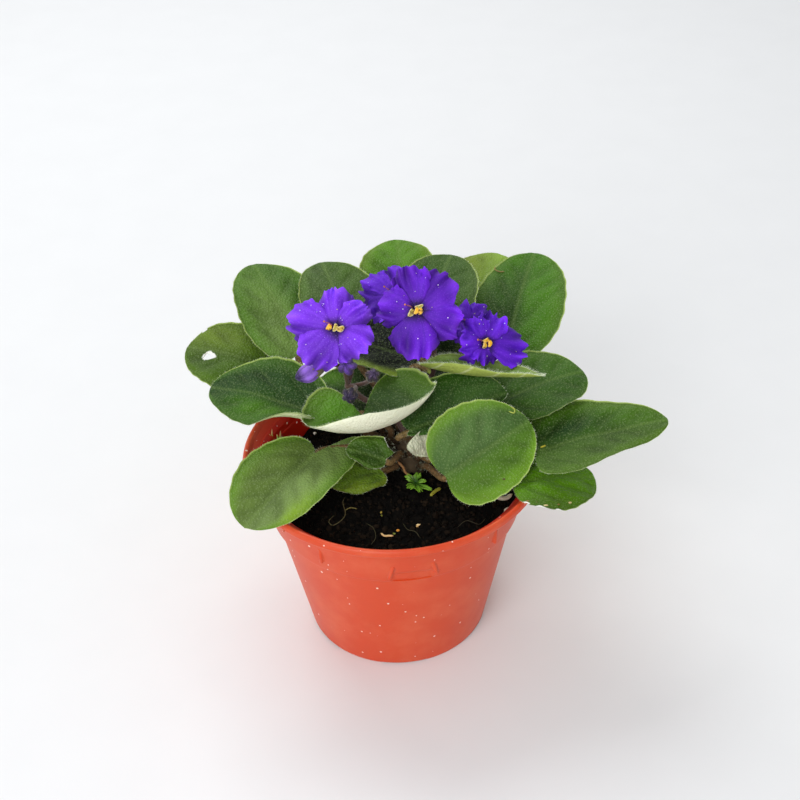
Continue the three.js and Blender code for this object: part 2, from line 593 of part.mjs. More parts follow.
function frondPoint(frond, u, v) {
  const [angle, reach, rise] = frond;
  const side = 1 - 2 * v;
  const spread = side * (0.5 + 1.9 * Math.sin(2.4 * u) ** 2);
  const teeth = 0.5 * u * Math.cos(9 * side);
  const far = reach * u + teeth;
  const [c, s] = [Math.cos(radians(angle)), Math.sin(radians(angle))];
  const ground = soilHeight(SEEDLING.x, SEEDLING.y) + 1.6;
  const height = ground + rise * Math.sin(1.6 * u) + 0.5 * u * Math.sin(5 * side);
  const at = new THREE.Vector3(SEEDLING.x + far * c - spread * s, SEEDLING.y + far * s + spread * c, height);
  return { at, normal: UP };
}

function seedlingStem(grow) {
  const top = soilHeight(SEEDLING.x, SEEDLING.y) + 2.2;
  const foot = SOIL_LEVEL - SEEDLING.hole;
  const radius = SEEDLING.stemRadius + grow;
  const profile = [[0, foot - grow], [radius, foot - grow], [radius, top], [0, top]];
  return solid(turned(profile, 8).translate(SEEDLING.x, SEEDLING.y, 0));
}

function seedlingSolid() {
  const fronds = FRONDS.map((frond) => {
    return solid(sheet(2, 4, PETAL_THICKNESS, (u, v) => frondPoint(frond, u, v)));
  });
  return largest(joined([seedlingStem(0), ...fronds]));
}

const crownSeat = crownSolid(SEAT_GAP);
place("pot", geometryOf(potSolid()), "pot");
place("soil", geometryOf(soilSolid([crownSeat, seedlingStem(SEAT_GAP)])), "soil");
place("crown", geometryOf(crownSolid(0)), "crown");
for (const leaf of LEAVES) place(leaf.name, geometryOf(leafSolid(leaf, crownSeat)), "leaf");
for (const stalk of STALKS) {
  place("stalk_" + stalk.name, geometryOf(stalkSolid(stalk, crownSeat)), "stalk");
}
for (const bloom of BLOOMS) {
  place("bloom_" + bloom.name, geometryOf(bloomSolid(bloom)), "petal");
  place("anthers_" + bloom.name, geometryOf(anthersSolid(bloom)), "anther");
}
for (const bud of BUDS) place("bud_" + bud.name, geometryOf(budSolid(bud)), "bud");
place("fern_seedling", geometryOf(seedlingSolid()), "seedling");

export default plant;
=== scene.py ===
# A potted african violet: a moulded plastic pot of peat soil, a rosette of hairy leaves on long
# petioles, and ruffled violet blooms above them. Shapes are worked out in millimetres and put
# into the meshes in metres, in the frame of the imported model; the front faces -Y.
import math

import bpy
import numpy as np
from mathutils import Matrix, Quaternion, Vector


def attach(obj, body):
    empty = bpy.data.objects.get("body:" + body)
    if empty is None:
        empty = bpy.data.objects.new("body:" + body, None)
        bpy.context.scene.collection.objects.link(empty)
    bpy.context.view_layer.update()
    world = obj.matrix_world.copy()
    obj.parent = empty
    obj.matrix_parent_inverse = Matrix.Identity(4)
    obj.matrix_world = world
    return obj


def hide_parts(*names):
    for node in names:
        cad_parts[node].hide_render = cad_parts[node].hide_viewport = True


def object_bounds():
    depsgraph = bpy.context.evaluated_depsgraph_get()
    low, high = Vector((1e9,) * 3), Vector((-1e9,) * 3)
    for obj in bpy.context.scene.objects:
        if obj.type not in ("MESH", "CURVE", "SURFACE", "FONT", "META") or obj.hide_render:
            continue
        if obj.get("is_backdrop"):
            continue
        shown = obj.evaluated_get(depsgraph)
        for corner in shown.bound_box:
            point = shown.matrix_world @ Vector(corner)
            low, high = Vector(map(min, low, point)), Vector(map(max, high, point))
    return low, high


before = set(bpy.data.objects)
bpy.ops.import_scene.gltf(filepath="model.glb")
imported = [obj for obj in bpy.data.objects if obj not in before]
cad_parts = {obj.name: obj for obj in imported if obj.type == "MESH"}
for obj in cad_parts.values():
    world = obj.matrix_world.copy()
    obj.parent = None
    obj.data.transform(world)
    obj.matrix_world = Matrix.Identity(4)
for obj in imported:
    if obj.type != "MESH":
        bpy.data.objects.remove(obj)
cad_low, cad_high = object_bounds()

# The camera looks down on the front of the plant from arm's length, turned a little about its
# own line of sight. The lens length is for a square picture.
MM = 0.001
VIEW_TARGET = Vector((3.5, 0, 113.8)) * MM
VIEW_ELEVATION = math.radians(36.8)
VIEW_DISTANCE = 600 * MM
VIEW_ROLL = math.radians(-1.76)
SENSOR_WIDTH = 36
FOCAL_LENGTH = 65.97
NEAR_CLIP = 10 * MM

line_of_sight = Vector((0, math.cos(VIEW_ELEVATION), -math.sin(VIEW_ELEVATION)))
lens = bpy.data.cameras.new("photograph_view")
lens.sensor_width = SENSOR_WIDTH
lens.lens = FOCAL_LENGTH
lens.clip_start = NEAR_CLIP
camera = bpy.data.objects.new("photograph_view", lens)
camera.location = VIEW_TARGET - line_of_sight * VIEW_DISTANCE
camera.rotation_mode = "QUATERNION"
camera.rotation_quaternion = line_of_sight.to_track_quat("-Z", "Y") @ Quaternion((0, 0, 1), VIEW_ROLL)
bpy.context.scene.collection.objects.link(camera)
bpy.context.scene.camera = camera

# The pot is a thin injection-moulded nursery pot of terracotta-coloured polypropylene: a rolled
# lip over a raised band with stacking ribs, stepped rings inside, and a flat base on a foot ring
# with drain holes. It is one moulding, and the rest of the plant stands in it.
POT_HEIGHT = 88
RIM_RADIUS = 63.5
BASE_RADIUS = 39.2
WALL = 1.5
LIP_HEIGHT = 3.6
NECK_HEIGHT = 3
BAND_FOOT = 62
BAND_HEIGHT = 11
BAND_STEP = 1.8
SHOULDER = 1
INNER_STEP = 0.35
SIDE_TOP_RADIUS = 56
FOOT_HEIGHT = 2.4
FLOOR = 4.2
PAD_RADIUS = 11
RING_RADIUS = 34.5
CORNER_RADIUS = 0.5
CORNER_STEPS = 4
POT_SIDES = 264
RIB_COUNT = 9
RIB_SIZE = (2.6, 1.5, 7)
BROAD_RIB_HEIGHT = 69.5
NARROW_RIB_HEIGHT = 71.5
FIRST_RIB = math.radians(-83)
THIRD_OF_TURN = math.radians(120)
TAB_SPREAD = math.radians(9.2)
TAB_LEAN = math.radians(14.7)
TAB_HEIGHT = 7
PRESS_DEPTH = 0.8
DRAIN_HOLES = 6
DRAIN_RADIUS = 4
DRAIN_PITCH = 23
NOTCH_SIZE = (12, 1.8, 20)
NOTCH_TURN = math.radians(33)
SCUFF_SIZE = 18.2
SPECK_SPACING = 3.85
GRAIN_SIZE = 1.11


def linear(code):
    """The linear colour of an sRGB hex value: each part goes through the sRGB curve."""
    parts = [int(code[i : i + 2], 16) / 255 for i in (1, 3, 5)]
    return (*[p / 12.92 if p <= 0.04045 else ((p + 0.055) / 1.055) ** 2.4 for p in parts], 1.0)


def tints(*codes):
    """Linear colours of sRGB hex values, one row for each."""
    return np.array([linear(code) for code in codes])


def add_node(tree, kind, inputs, into=None, **settings):
    """A new node with its settings and links. inputs gives sockets, by name or number, a value, or
    an output or a node that is linked to them. into is a socket that the node itself feeds."""
    made = tree.nodes.new("ShaderNode" + kind)
    for name, value in settings.items():
        setattr(made, name, value)
    for socket, value in inputs.items():
        if isinstance(value, bpy.types.Node):
            value = next(output for output in value.outputs if output.enabled)
        if isinstance(value, bpy.types.NodeSocket):
            tree.links.new(value, made.inputs[socket])
        else:
            made.inputs[socket].default_value = value
    if into:
        tree.links.new(next(output for output in made.outputs if output.enabled), into)
    return made


def new_material(name, sockets):
    """A material with its node tree and its shader, whose own sockets get the values given."""
    material = bpy.data.materials.new(name)
    material.use_nodes = True
    shader = material.node_tree.nodes["Principled BSDF"]
    for socket, value in sockets.items():
        shader.inputs[socket].default_value = value
    return material, material.node_tree, shader


def unit(vectors):
    """Vectors divided by their length."""
    return vectors / np.maximum(np.linalg.norm(vectors, axis=-1, keepdims=True), 1e-9)


def outward(points, quads, triangles):
    """The faces of a closed skin, turned over if the volume that they enclose is negative. The
    volume is the sum over the triangles of the triple product of their corners."""
    corners = points[np.concatenate([quads[:, :3], quads[:, [0, 2, 3]], triangles])]
    volume = np.einsum("ij,ij->i", corners[:, 0], np.cross(corners[:, 1], corners[:, 2])).sum()
    order = -1 if volume < 0 else 1
    return {"points": points, "quads": quads[:, ::order], "triangles": triangles[:, ::order]}


def loft(rings, **fields):
    """A closed skin over rings of points, an array (rings, around, 3), with a fan to a middle
    point at each end. A field has a value for each ring point; an end gets its ring's mean."""
    count, around, _ = rings.shape
    ends = np.stack([rings[0].mean(0), rings[-1].mean(0)])
    points = np.concatenate([rings.reshape(-1, 3), ends])
    i = np.arange(count - 1)[:, None] * around
    j = np.arange(around)[None, :]
    k = (j + 1) % around
    quads = np.stack([i + j, i + k, i + around + k, i + around + j], -1).reshape(-1, 4)
    j, k = j[0], k[0]
    first = np.stack([np.full(around, count * around), k, j], -1)
    last_ring = (count - 1) * around
    last = np.stack([np.full(around, count * around + 1), last_ring + j, last_ring + k], -1)
    carried = {}
    for name, values in fields.items():
        values = np.broadcast_to(values, (*rings.shape[:2], values.shape[-1]))
        tips = np.stack([values[0].mean(0), values[-1].mean(0)])
        carried[name] = np.concatenate([values.reshape(-1, values.shape[-1]), tips])
    return {**outward(points, quads, np.concatenate([first, last])), "fields": carried}


# The value of a field that a whole skin goes without.
nowhere = np.zeros((1, 1, 1))


def together(skins):
    """Several skins in one, with the corners of each numbered after those before it."""
    starts = np.cumsum([0] + [len(skin["points"]) for skin in skins])
    joined = {"points": np.concatenate([skin["points"] for skin in skins])}
    for faces in ("quads", "triangles"):
        joined[faces] = np.concatenate([skin[faces] + start for skin, start in zip(skins, starts)])
    names = skins[0]["fields"]
    joined["fields"] = {name: np.concatenate([skin["fields"][name] for skin in skins]) for name in names}
    return joined


def add_mesh(name, skin, material):
    """A mesh object from a skin, in metres, in the scene."""
    mesh = bpy.data.meshes.new(name)
    faces = skin["quads"].tolist() + skin["triangles"].tolist()
    mesh.from_pydata((skin["points"] * MM).tolist(), [], faces)
    mesh.materials.append(material)
    made = bpy.data.objects.new(name, mesh)
    bpy.context.scene.collection.objects.link(made)
    return made


FIELD_KINDS = {1: ("FLOAT", "value"), 3: ("FLOAT_VECTOR", "vector"), 4: ("FLOAT_COLOR", "color")}


def add_piece(name, skin, material, nodes, crease=50):
    """A piece from a skin, smooth but for edges sharper than crease degrees, whose fields become
    attributes. It rides on the one body and stands for the CAD nodes named."""
    piece = add_mesh(name, skin, material)
    mesh = piece.data
    for field, values in skin["fields"].items():
        kind, item = FIELD_KINDS[values.shape[-1]]
        attribute = mesh.attributes.new(field, kind, "POINT")
        attribute.data.foreach_set(item, values.astype(np.float32).ravel())
    mesh.polygons.foreach_set("use_smooth", np.ones(len(mesh.polygons), bool))
    mesh.set_sharp_from_angle(angle=math.radians(crease))
    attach(piece, "root")
    if nodes:
        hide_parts(*nodes)
    return piece


def carve(piece, cutters):
    """Takes solid skins out of a piece with one Boolean, which is applied."""
    tool = add_mesh("cutters", together(cutters), piece.data.materials[0])
    cut = piece.modifiers.new("cut", "BOOLEAN")
    cut.operation = "DIFFERENCE"
    cut.solver = "EXACT"
    cut.use_self = True
    cut.object = tool
    shown = piece.evaluated_get(bpy.context.evaluated_depsgraph_get())
    carved = bpy.data.meshes.new_from_object(shown)
    piece.modifiers.clear()
    piece.data = carved
    bpy.data.objects.remove(tool)


def softened(profile, radius):
    """A profile with round corners: each corner becomes a short curve that starts and ends up
    to radius away from it, by the quadratic Bezier formula."""
    corners = np.array(profile, float)
    before, at, after = corners[:-2], corners[1:-1], corners[2:]
    reach_in = np.minimum(radius, 0.4 * np.linalg.norm(at - before, axis=1))[:, None]
    reach_out = np.minimum(radius, 0.4 * np.linalg.norm(after - at, axis=1))[:, None]
    start = at + unit(before - at) * reach_in
    end = at + unit(after - at) * reach_out
    t = np.linspace(0, 1, CORNER_STEPS)[None, :, None]
    curves = (1 - t) ** 2 * start[:, None] + 2 * t * (1 - t) * at[:, None] + t**2 * end[:, None]
    return np.concatenate([corners[:1], curves.reshape(-1, 2), corners[-1:]])


def stepped(profile, step):
    """A profile with points added so that none of its edges is longer than step."""
    along = np.concatenate([[0], np.cumsum(np.linalg.norm(np.diff(profile, axis=0), axis=1))])
    places = np.union1d(along, np.arange(0, along[-1], step))
    return np.stack([np.interp(places, along, profile[:, k]) for k in (0, 1)], -1)


def turned(profile, sides):
    """Rings about the Z axis: each [radius, height] becomes a circle of points."""
    angle = np.arange(sides) * 2 * np.pi / sides
    radius, height = profile[:, :1], profile[:, 1:]
    return np.stack([radius * np.cos(angle), radius * np.sin(angle), height + 0 * angle], -1)


def outer_radius(height):
    """The outside radius of the pot below its lip: a cone, with the band standing proud."""
    slope = (SIDE_TOP_RADIUS - BASE_RADIUS) / (POT_HEIGHT - LIP_HEIGHT)
    return BASE_RADIUS + slope * height + np.where(np.asarray(height) > BAND_FOOT, BAND_STEP, 0)


lip_foot = POT_HEIGHT - LIP_HEIGHT
neck_foot = lip_foot - NECK_HEIGHT
ring_foot = neck_foot - NECK_HEIGHT
shoulder = BAND_FOOT + SHOULDER
outside = [
    [0.05, 0],
    [PAD_RADIUS, 0],
    [PAD_RADIUS + 2, FOOT_HEIGHT],
    [RING_RADIUS - 1.5, FOOT_HEIGHT],
    [RING_RADIUS, 0],
    [BASE_RADIUS - 0.6, 0],
    [BASE_RADIUS, 0.8],
    [outer_radius(BAND_FOOT), BAND_FOOT],
    [outer_radius(shoulder), shoulder],
    [outer_radius(neck_foot), neck_foot],
    [RIM_RADIUS - 1.8, lip_foot],
    [RIM_RADIUS - 0.3, lip_foot + 0.3],
    [RIM_RADIUS, lip_foot + 1.2],
    [RIM_RADIUS - 0.3, POT_HEIGHT - 0.8],
    [RIM_RADIUS - 1.2, POT_HEIGHT],
    [RIM_RADIUS - 2.2, POT_HEIGHT - 0.3],
]
inside = [
    [RIM_RADIUS - 3.4, POT_HEIGHT - 2.2],
    [RIM_RADIUS - 3.7, POT_HEIGHT - 2.5],
    [RIM_RADIUS - 5.6, POT_HEIGHT - 4.2],
    [RIM_RADIUS - 6.0, POT_HEIGHT - 4.3],
    [outer_radius(neck_foot) - WALL, neck_foot],
    [outer_radius(ring_foot) - WALL, ring_foot],
    [outer_radius(ring_foot) - WALL - INNER_STEP, ring_foot - 0.3],
    [outer_radius(shoulder) - WALL - INNER_STEP, shoulder],
    [outer_radius(BAND_FOOT) - WALL, BAND_FOOT],
    [BASE_RADIUS - WALL, FLOOR],
    [0.05, FLOOR],
]
pot_profile = stepped(softened(outside + inside, CORNER_RADIUS), 2.6)
wall_row, band_top = [int(np.argmax(pot_profile[:, 1] > BAND_FOOT + up)) for up in (1.6, BAND_HEIGHT)]
band_rows = np.linspace(BAND_FOOT + 3.08, BAND_FOOT + BAND_HEIGHT, 12)
band = np.stack([outer_radius(band_rows), band_rows], -1)
pot_profile = np.concatenate([pot_profile[:wall_row], band, pot_profile[band_top:]])
pot_rings = turned(pot_profile, POT_SIDES)

# Between the leaning ribs of a broad tab the band is pressed in under a low arch.
around_pot = np.arctan2(pot_rings[..., 1], pot_rings[..., 0])
tab_turn = (around_pot - FIRST_RIB + THIRD_OF_TURN / 2) % THIRD_OF_TURN - THIRD_OF_TURN / 2
arch_top = BAND_FOOT + TAB_HEIGHT - 30 * tab_turn**2
from_axis = np.hypot(pot_rings[..., 0], pot_rings[..., 1])
height = pot_rings[..., 2]
inset = np.clip((arch_top - height) / 0.8, 0, 1) * np.clip((TAB_SPREAD - np.abs(tab_turn)) / 0.012, 0, 1)
on_band = (from_axis > outer_radius(height) - 0.4) & (height > BAND_FOOT + 0.8)
press = 1 - PRESS_DEPTH * inset * on_band / np.maximum(from_axis, 1)
pot_rings[..., :2] *= press[..., None]


def rounded_bar(width, depth, length):
    """Rings of a bar along Z with soft corners: a superellipse that shrinks at both ends."""
    turn = np.arange(16) * np.pi / 8
    cosine, sine = np.cos(turn), np.sin(turn)
    x = np.sign(cosine) * np.abs(cosine) ** 0.5 * width / 2
    y = np.sign(sine) * np.abs(sine) ** 0.5 * depth / 2
    z = np.array([-1, -0.97, -0.88, 0.88, 0.97, 1]) * length / 2
    size = np.array([0.6, 0.88, 1, 1, 0.88, 0.6])[:, None]
    return np.stack([size * x, size * y, z[:, None] + 0 * x], -1)


def rotated(x, y, turn):
    """Places in a plane, turned about its origin."""
    return x * math.cos(turn) - y * math.sin(turn), x * math.sin(turn) + y * math.cos(turn)


def stood_on_wall(points, turn, height, lean, radius):
    """Points made about the origin, leant about X and moved out to the wall at a turn about Z."""
    y, z = rotated(points[..., 1], points[..., 2], lean)
    return np.stack([*rotated(points[..., 0] + radius, y, turn), z + height], -1)


crest = int(np.argmax(pot_profile[:, 1]))
# The share of painted glow on the wall: none outside, growing over 5 mm down inside the lip.
below_lip = np.clip((pot_profile[crest, 1] - pot_profile[:, 1]) / 5, 0, 1)
below_lip[: crest + 1] = 0
pot_skins = [loft(pot_rings, within=below_lip[:, None, None])]
for rib in range(RIB_COUNT):
    broad = rib % 3 == 0
    rib_height = BROAD_RIB_HEIGHT if broad else NARROW_RIB_HEIGHT
    rib_out = float(outer_radius(rib_height)) - 0.4
    for side in (-1, 1) if broad else (0,):
        rib_turn = FIRST_RIB + rib * 2 * math.pi / RIB_COUNT + side * TAB_SPREAD
        stood = stood_on_wall(rounded_bar(*RIB_SIZE), rib_turn, rib_height, side * TAB_LEAN, rib_out)
        pot_skins.append(loft(stood, within=nowhere))

# Polypropylene from a polished mould has a soft gloss, and some light passes through it. Handling
# leaves faint cloudy scuffs on it.
polypropylene, tree, plastic = new_material(
    "Moulded polypropylene",
    {
        "Roughness": 0.42,
        "IOR": 1.49,
        "Specular IOR Level": 0.35,
        "Subsurface Weight": 0.3,
        "Subsurface Radius": (1.0, 0.25, 0.12),
        "Subsurface Scale": 2 * MM,
    },
)
place = add_node(tree, "TexCoord", {}).outputs["Object"]
scuff = add_node(
    tree, "TexNoise", {"Vector": place, "Scale": 1 / (SCUFF_SIZE * MM), "Detail": 5, "Roughness": 0.6}
)
scuffed = add_node(tree, "MapRange", {"Value": scuff, "From Min": 0.45, "From Max": 0.8})
colour = add_node(tree, "Mix", {0: scuffed, 6: linear("#cf4822"), 7: linear("#d75f3a")}, data_type="RGBA")
# Below the lip the inside of the wall is painted a deeper red, a painted glow of light that
# passes through the thin wall. Watering leaves round specks of lime of many sizes.
within = add_node(tree, "Attribute", {}, attribute_name="within").outputs["Fac"]
cells = add_node(tree, "TexVoronoi", {"Vector": place, "Scale": 1 / (SPECK_SPACING * MM)})
pick = add_node(tree, "SeparateColor", {"Color": cells.outputs["Color"]})
speck_size = add_node(tree, "MapRange", {"Value": pick, "From Min": 0.35, "To Min": 0.0, "To Max": 0.15})
speck = add_node(tree, "Math", {0: cells, 1: speck_size}, operation="LESS_THAN")
for share, tint in ((within, "#c4200a"), (speck, "#f1d9cf")):
    colour = add_node(tree, "Mix", {0: share, 6: colour, 7: linear(tint)}, data_type="RGBA")
tree.links.new(colour.outputs[2], plastic.inputs["Base Color"])
grain = add_node(tree, "TexNoise", {"Vector": place, "Scale": 1 / (GRAIN_SIZE * MM), "Detail": 3})
add_node(tree, "Bump", {"Height": grain, "Strength": 0.12, "Distance": 0.2 * MM}, plastic.inputs["Normal"])

pot = add_piece("nursery_pot", together(pot_skins), polypropylene, ["pot"], crease=40)
bores = []
for turn in np.arange(DRAIN_HOLES) * 2 * np.pi / DRAIN_HOLES:
    bore = turned(np.array([[DRAIN_RADIUS, -3.0], [DRAIN_RADIUS, 9.0]]), 48)
    bores.append(loft(bore + [*rotated(DRAIN_PITCH, 0, turn), 0]))
    notch = rounded_bar(*NOTCH_SIZE)[..., [0, 2, 1]]
    bores.append(loft(stood_on_wall(notch, turn + NOTCH_TURN, 0, 0, RING_RADIUS + 2.5)))
carve(pot, bores)

# The soil is peat mixed with fine bark, watered down to a dark crumbly plug just under the lip.
# Loose crumbs lie on it, with bits of straw, pale roots, and a few dried grains of fertiliser.
SOIL_LEVEL = 75
MOUND_HEIGHT = 3
MOUND_RADIUS = 22.4
DIP_X = -50
DIP_Y = 24
DIP_DEPTH = 9
DIP_RADIUS = 19
CROWN_X = 8
CROWN_Y = 2
SEAT_GAP = 0.3
SOIL_ROWS = 70
SOIL_SIDES = 220
WAVES = 14
CRUMB_COUNT = 3200
MOTTLE_SIZE = 3.85
GRIT_SIZE = 0.714
FIBRE_WIDTH = 0.667
THREAD_POINTS = 24


def ripple(points, wavelength, seed):
    """A smooth uneven field of about -1 to 1: plane waves of one length in random directions."""
    draw = np.random.default_rng(seed)
    directions = unit(draw.normal(size=(WAVES, 3))).T * 2 * np.pi / wavelength
    phases = draw.uniform(0, 2 * np.pi, WAVES)
    return np.sin(points @ directions + phases).sum(-1) / math.sqrt(WAVES)


def bell(distance, width):
    """One at no distance, and less on both sides, as in a Gaussian curve."""
    return np.exp(-((distance / width) ** 2))


def soil_height(x, y):
    """The height of the soil: a low mound round the crown and a dip by the wall on the left,
    both bell-shaped, with waves of about 20 mm."""
    away = np.hypot(x - CROWN_X, y - CROWN_Y)
    mound = MOUND_HEIGHT * bell(away, MOUND_RADIUS)
    waves = np.sin(x * 0.34 + 1.1) * np.cos(y * 0.29) + 0.6 * np.sin(x * 0.71 - y * 0.53)
    dip = DIP_DEPTH * bell(np.hypot(x - DIP_X, y - DIP_Y), DIP_RADIUS)
    return SOIL_LEVEL + mound + 0.6 * waves - dip


def inside_wall(x, y):
    """How far soil at x, y is drawn in so that it stays inside the pot, whose wall narrows
    downwards: the wall's radius at the soil's height over the point's own, at most 1."""
    wall = outer_radius(np.maximum(soil_height(x, y), BAND_FOOT + 1)) - WALL - SEAT_GAP - 0.6
    return np.minimum(1, wall / np.maximum(np.hypot(x, y), 1))


floor_radius = BASE_RADIUS - WALL - SEAT_GAP - 0.4
band_radius = float(outer_radius(BAND_FOOT)) - WALL - SEAT_GAP - 0.4
top_radius = float(outer_radius(SOIL_LEVEL)) - WALL - SEAT_GAP - 0.6
soil_top = np.stack(
    [np.linspace(top_radius, 0.2, SOIL_ROWS), np.full(SOIL_ROWS, float(SOIL_LEVEL))], -1
)
soil_side = [[0.05, FLOOR + SEAT_GAP], [floor_radius, FLOOR + SEAT_GAP], [band_radius, BAND_FOOT]]
soil_rings = turned(np.concatenate([soil_side, soil_top]), SOIL_SIDES)
top = soil_rings[3:]
top[..., 2] = soil_height(top[..., 0], top[..., 1])
top[..., :2] *= inside_wall(top[..., 0], top[..., 1])[..., None]
top[..., 2] += 0.35 * ripple(top * [1, 1, 0], 6, 1) + 0.25 * ripple(top * [1, 1, 0], 2.6, 2)
soil_skin = loft(soil_rings, shade=nowhere)

LUMP_FACES = np.array(
    [
        [0, 11, 5], [0, 5, 1], [0, 1, 7], [0, 7, 10], [0, 10, 11], [1, 5, 9], [5, 11, 4], [11, 10, 2],
        [10, 7, 6], [7, 1, 8], [3, 9, 4], [3, 4, 2], [3, 2, 6], [3, 6, 8], [3, 8, 9], [4, 9, 5],
        [2, 4, 11], [6, 2, 10], [8, 6, 7], [9, 8, 1],
    ]
)
golden = (1 + math.sqrt(5)) / 2
LUMP_CORNERS = unit(
    np.array(
        [
            [-1, golden, 0], [1, golden, 0], [-1, -golden, 0], [1, -golden, 0],
            [0, -1, golden], [0, 1, golden], [0, -1, -golden], [0, 1, -golden],
            [golden, 0, -1], [golden, 0, 1], [-golden, 0, -1], [-golden, 0, 1],
        ]
    )
)


def lumps(centres, sizes, seed, rough=0.25, **fields):
    """Small uneven lumps of twenty faces: a ball of twelve corners, each pulled in or out a
    little, scaled by its own sizes, an array (lumps, 3). A field has one value for each lump."""
    draw = np.random.default_rng(seed)
    count = len(centres)
    pull = 1 + rough * draw.uniform(-1, 1, (count, 12, 1))
    points = centres[:, None] + LUMP_CORNERS * pull * sizes[:, None]
    triangles = (np.arange(count)[:, None, None] * 12 + LUMP_FACES).reshape(-1, 3)
    carried = {name: np.repeat(values, 12, axis=0) for name, values in fields.items()}
    quads = np.zeros((0, 4), int)
    return {"points": points.reshape(-1, 3), "quads": quads, "triangles": triangles, "fields": carried}


draw = np.random.default_rng(11)
crumb_reach = (top_radius - 0.8) * np.sqrt(draw.uniform(0.005, 1, CRUMB_COUNT))
crumb_turn = draw.uniform(0, 2 * np.pi, CRUMB_COUNT)
crumb_x, crumb_y = crumb_reach * np.cos(crumb_turn), crumb_reach * np.sin(crumb_turn)
crumb_size = draw.gamma(2.2, 0.22, (CRUMB_COUNT, 1)) + 0.3
crumb_shape = np.minimum(crumb_size, 1.6) * draw.uniform(0.6, 1.2, (CRUMB_COUNT, 3))
crumb_places = np.stack([crumb_x, crumb_y, soil_height(crumb_x, crumb_y) + 0.2], -1)
crumb_places[:, :2] *= (inside_wall(crumb_x, crumb_y) * 0.985)[:, None]
crumb_shade = draw.uniform(0, 1, (CRUMB_COUNT, 1)) ** 3
crumbs = lumps(crumb_places, crumb_shape, 12, shade=crumb_shade)

# Damp peat is nearly black and dull, with browner crumbs of bark here and there.
peat, tree, earth = new_material("Damp peat soil", {"Roughness": 0.92, "Specular IOR Level": 0.1})
place = add_node(tree, "TexCoord", {}).outputs["Object"]
mottle = add_node(
    tree, "TexNoise", {"Vector": place, "Scale": 1 / (MOTTLE_SIZE * MM), "Detail": 6, "Roughness": 0.7}
)
lit = add_node(tree, "MapRange", {"Value": mottle, "From Min": 0.45, "From Max": 0.85})
shade = add_node(tree, "Attribute", {}, attribute_name="shade").outputs["Fac"]
colour = linear("#080706")
for share, tint in ((lit, "#1a1510"), (shade, "#251c13")):
    colour = add_node(tree, "Mix", {0: share, 6: colour, 7: linear(tint)}, data_type="RGBA")
tree.links.new(colour.outputs[2], earth.inputs["Base Color"])
grit = add_node(tree, "TexNoise", {"Vector": place, "Scale": 1 / (GRIT_SIZE * MM), "Detail": 4})
add_node(tree, "Bump", {"Height": grit, "Strength": 0.7, "Distance": 0.6 * MM}, earth.inputs["Normal"])
add_piece("peat_soil", together([soil_skin, crumbs]), peat, ["soil"])


def smooth_path(points, count):
    """Points evenly spaced by parameter on a centripetal Catmull-Rom curve: a cubic between
    each pair of points, with slopes weighed by the square roots of the distances."""
    p = np.array(points, float)
    p = np.concatenate([[2 * p[0] - p[1]], p, [2 * p[-1] - p[-2]]])
    t = np.linspace(0, len(points) - 1, count)
    i = np.minimum(t.astype(int), len(points) - 2)
    w = (t - i)[:, None]
    p0, p1, p2, p3 = p[i], p[i + 1], p[i + 2], p[i + 3]
    gaps = p1 - p0, p2 - p1, p3 - p2
    d0, d1, d2 = [np.sqrt(np.linalg.norm(gap, axis=1, keepdims=True)) for gap in gaps]
    m1 = d1 * ((p1 - p0) / d0 - (p2 - p0) / (d0 + d1) + (p2 - p1) / d1)
    m2 = d1 * ((p2 - p1) / d1 - (p3 - p1) / (d1 + d2) + (p3 - p2) / d2)
    return p1 + m1 * w + (3 * (p2 - p1) - 2 * m1 - m2) * w**2 + (2 * (p1 - p2) + m1 + m2) * w**3


def tube(path, radius, around):
    """Rings round a path: circles across its direction, with a radius for each point of it."""
    ahead = unit(np.gradient(path, axis=0))
    level = np.cross(path[-1] - path[0], [0, 0, 1.0])
    level = level if np.linalg.norm(level) > 1e-3 else np.array([1.0, 0, 0])
    side = unit(level - (ahead @ level)[:, None] * ahead)
    upper = np.cross(side, ahead)
    angle = np.arange(around) * 2 * np.pi / around
    radius = np.broadcast_to(np.asarray(radius, float), (len(path),))[:, None, None]
    spokes = np.cos(angle)[None, :, None] * side[:, None] + np.sin(angle)[None, :, None] * upper[:, None]
    return path[:, None] + radius * spokes


def tapered(count, start, end):
    """Radii from start to end that close in at both ends, for a thread or a stem."""
    t = np.linspace(0, 1, count)
    return (start + (end - start) * t) * np.clip(np.minimum(t, 1 - t) * count / 2.5, 0.15, 1)


def thread(points, radius, colour):
    """A thin thread through points, in one colour."""
    rings = tube(smooth_path(points, THREAD_POINTS), tapered(THREAD_POINTS, radius, radius), 6)
    return loft(rings, litter=tints(colour)[None])


def on_soil(pairs, above):
    """Points on the soil, a little above it."""
    x, y = np.array(pairs, float).T
    return np.stack([x, y, soil_height(x, y) + above], -1)


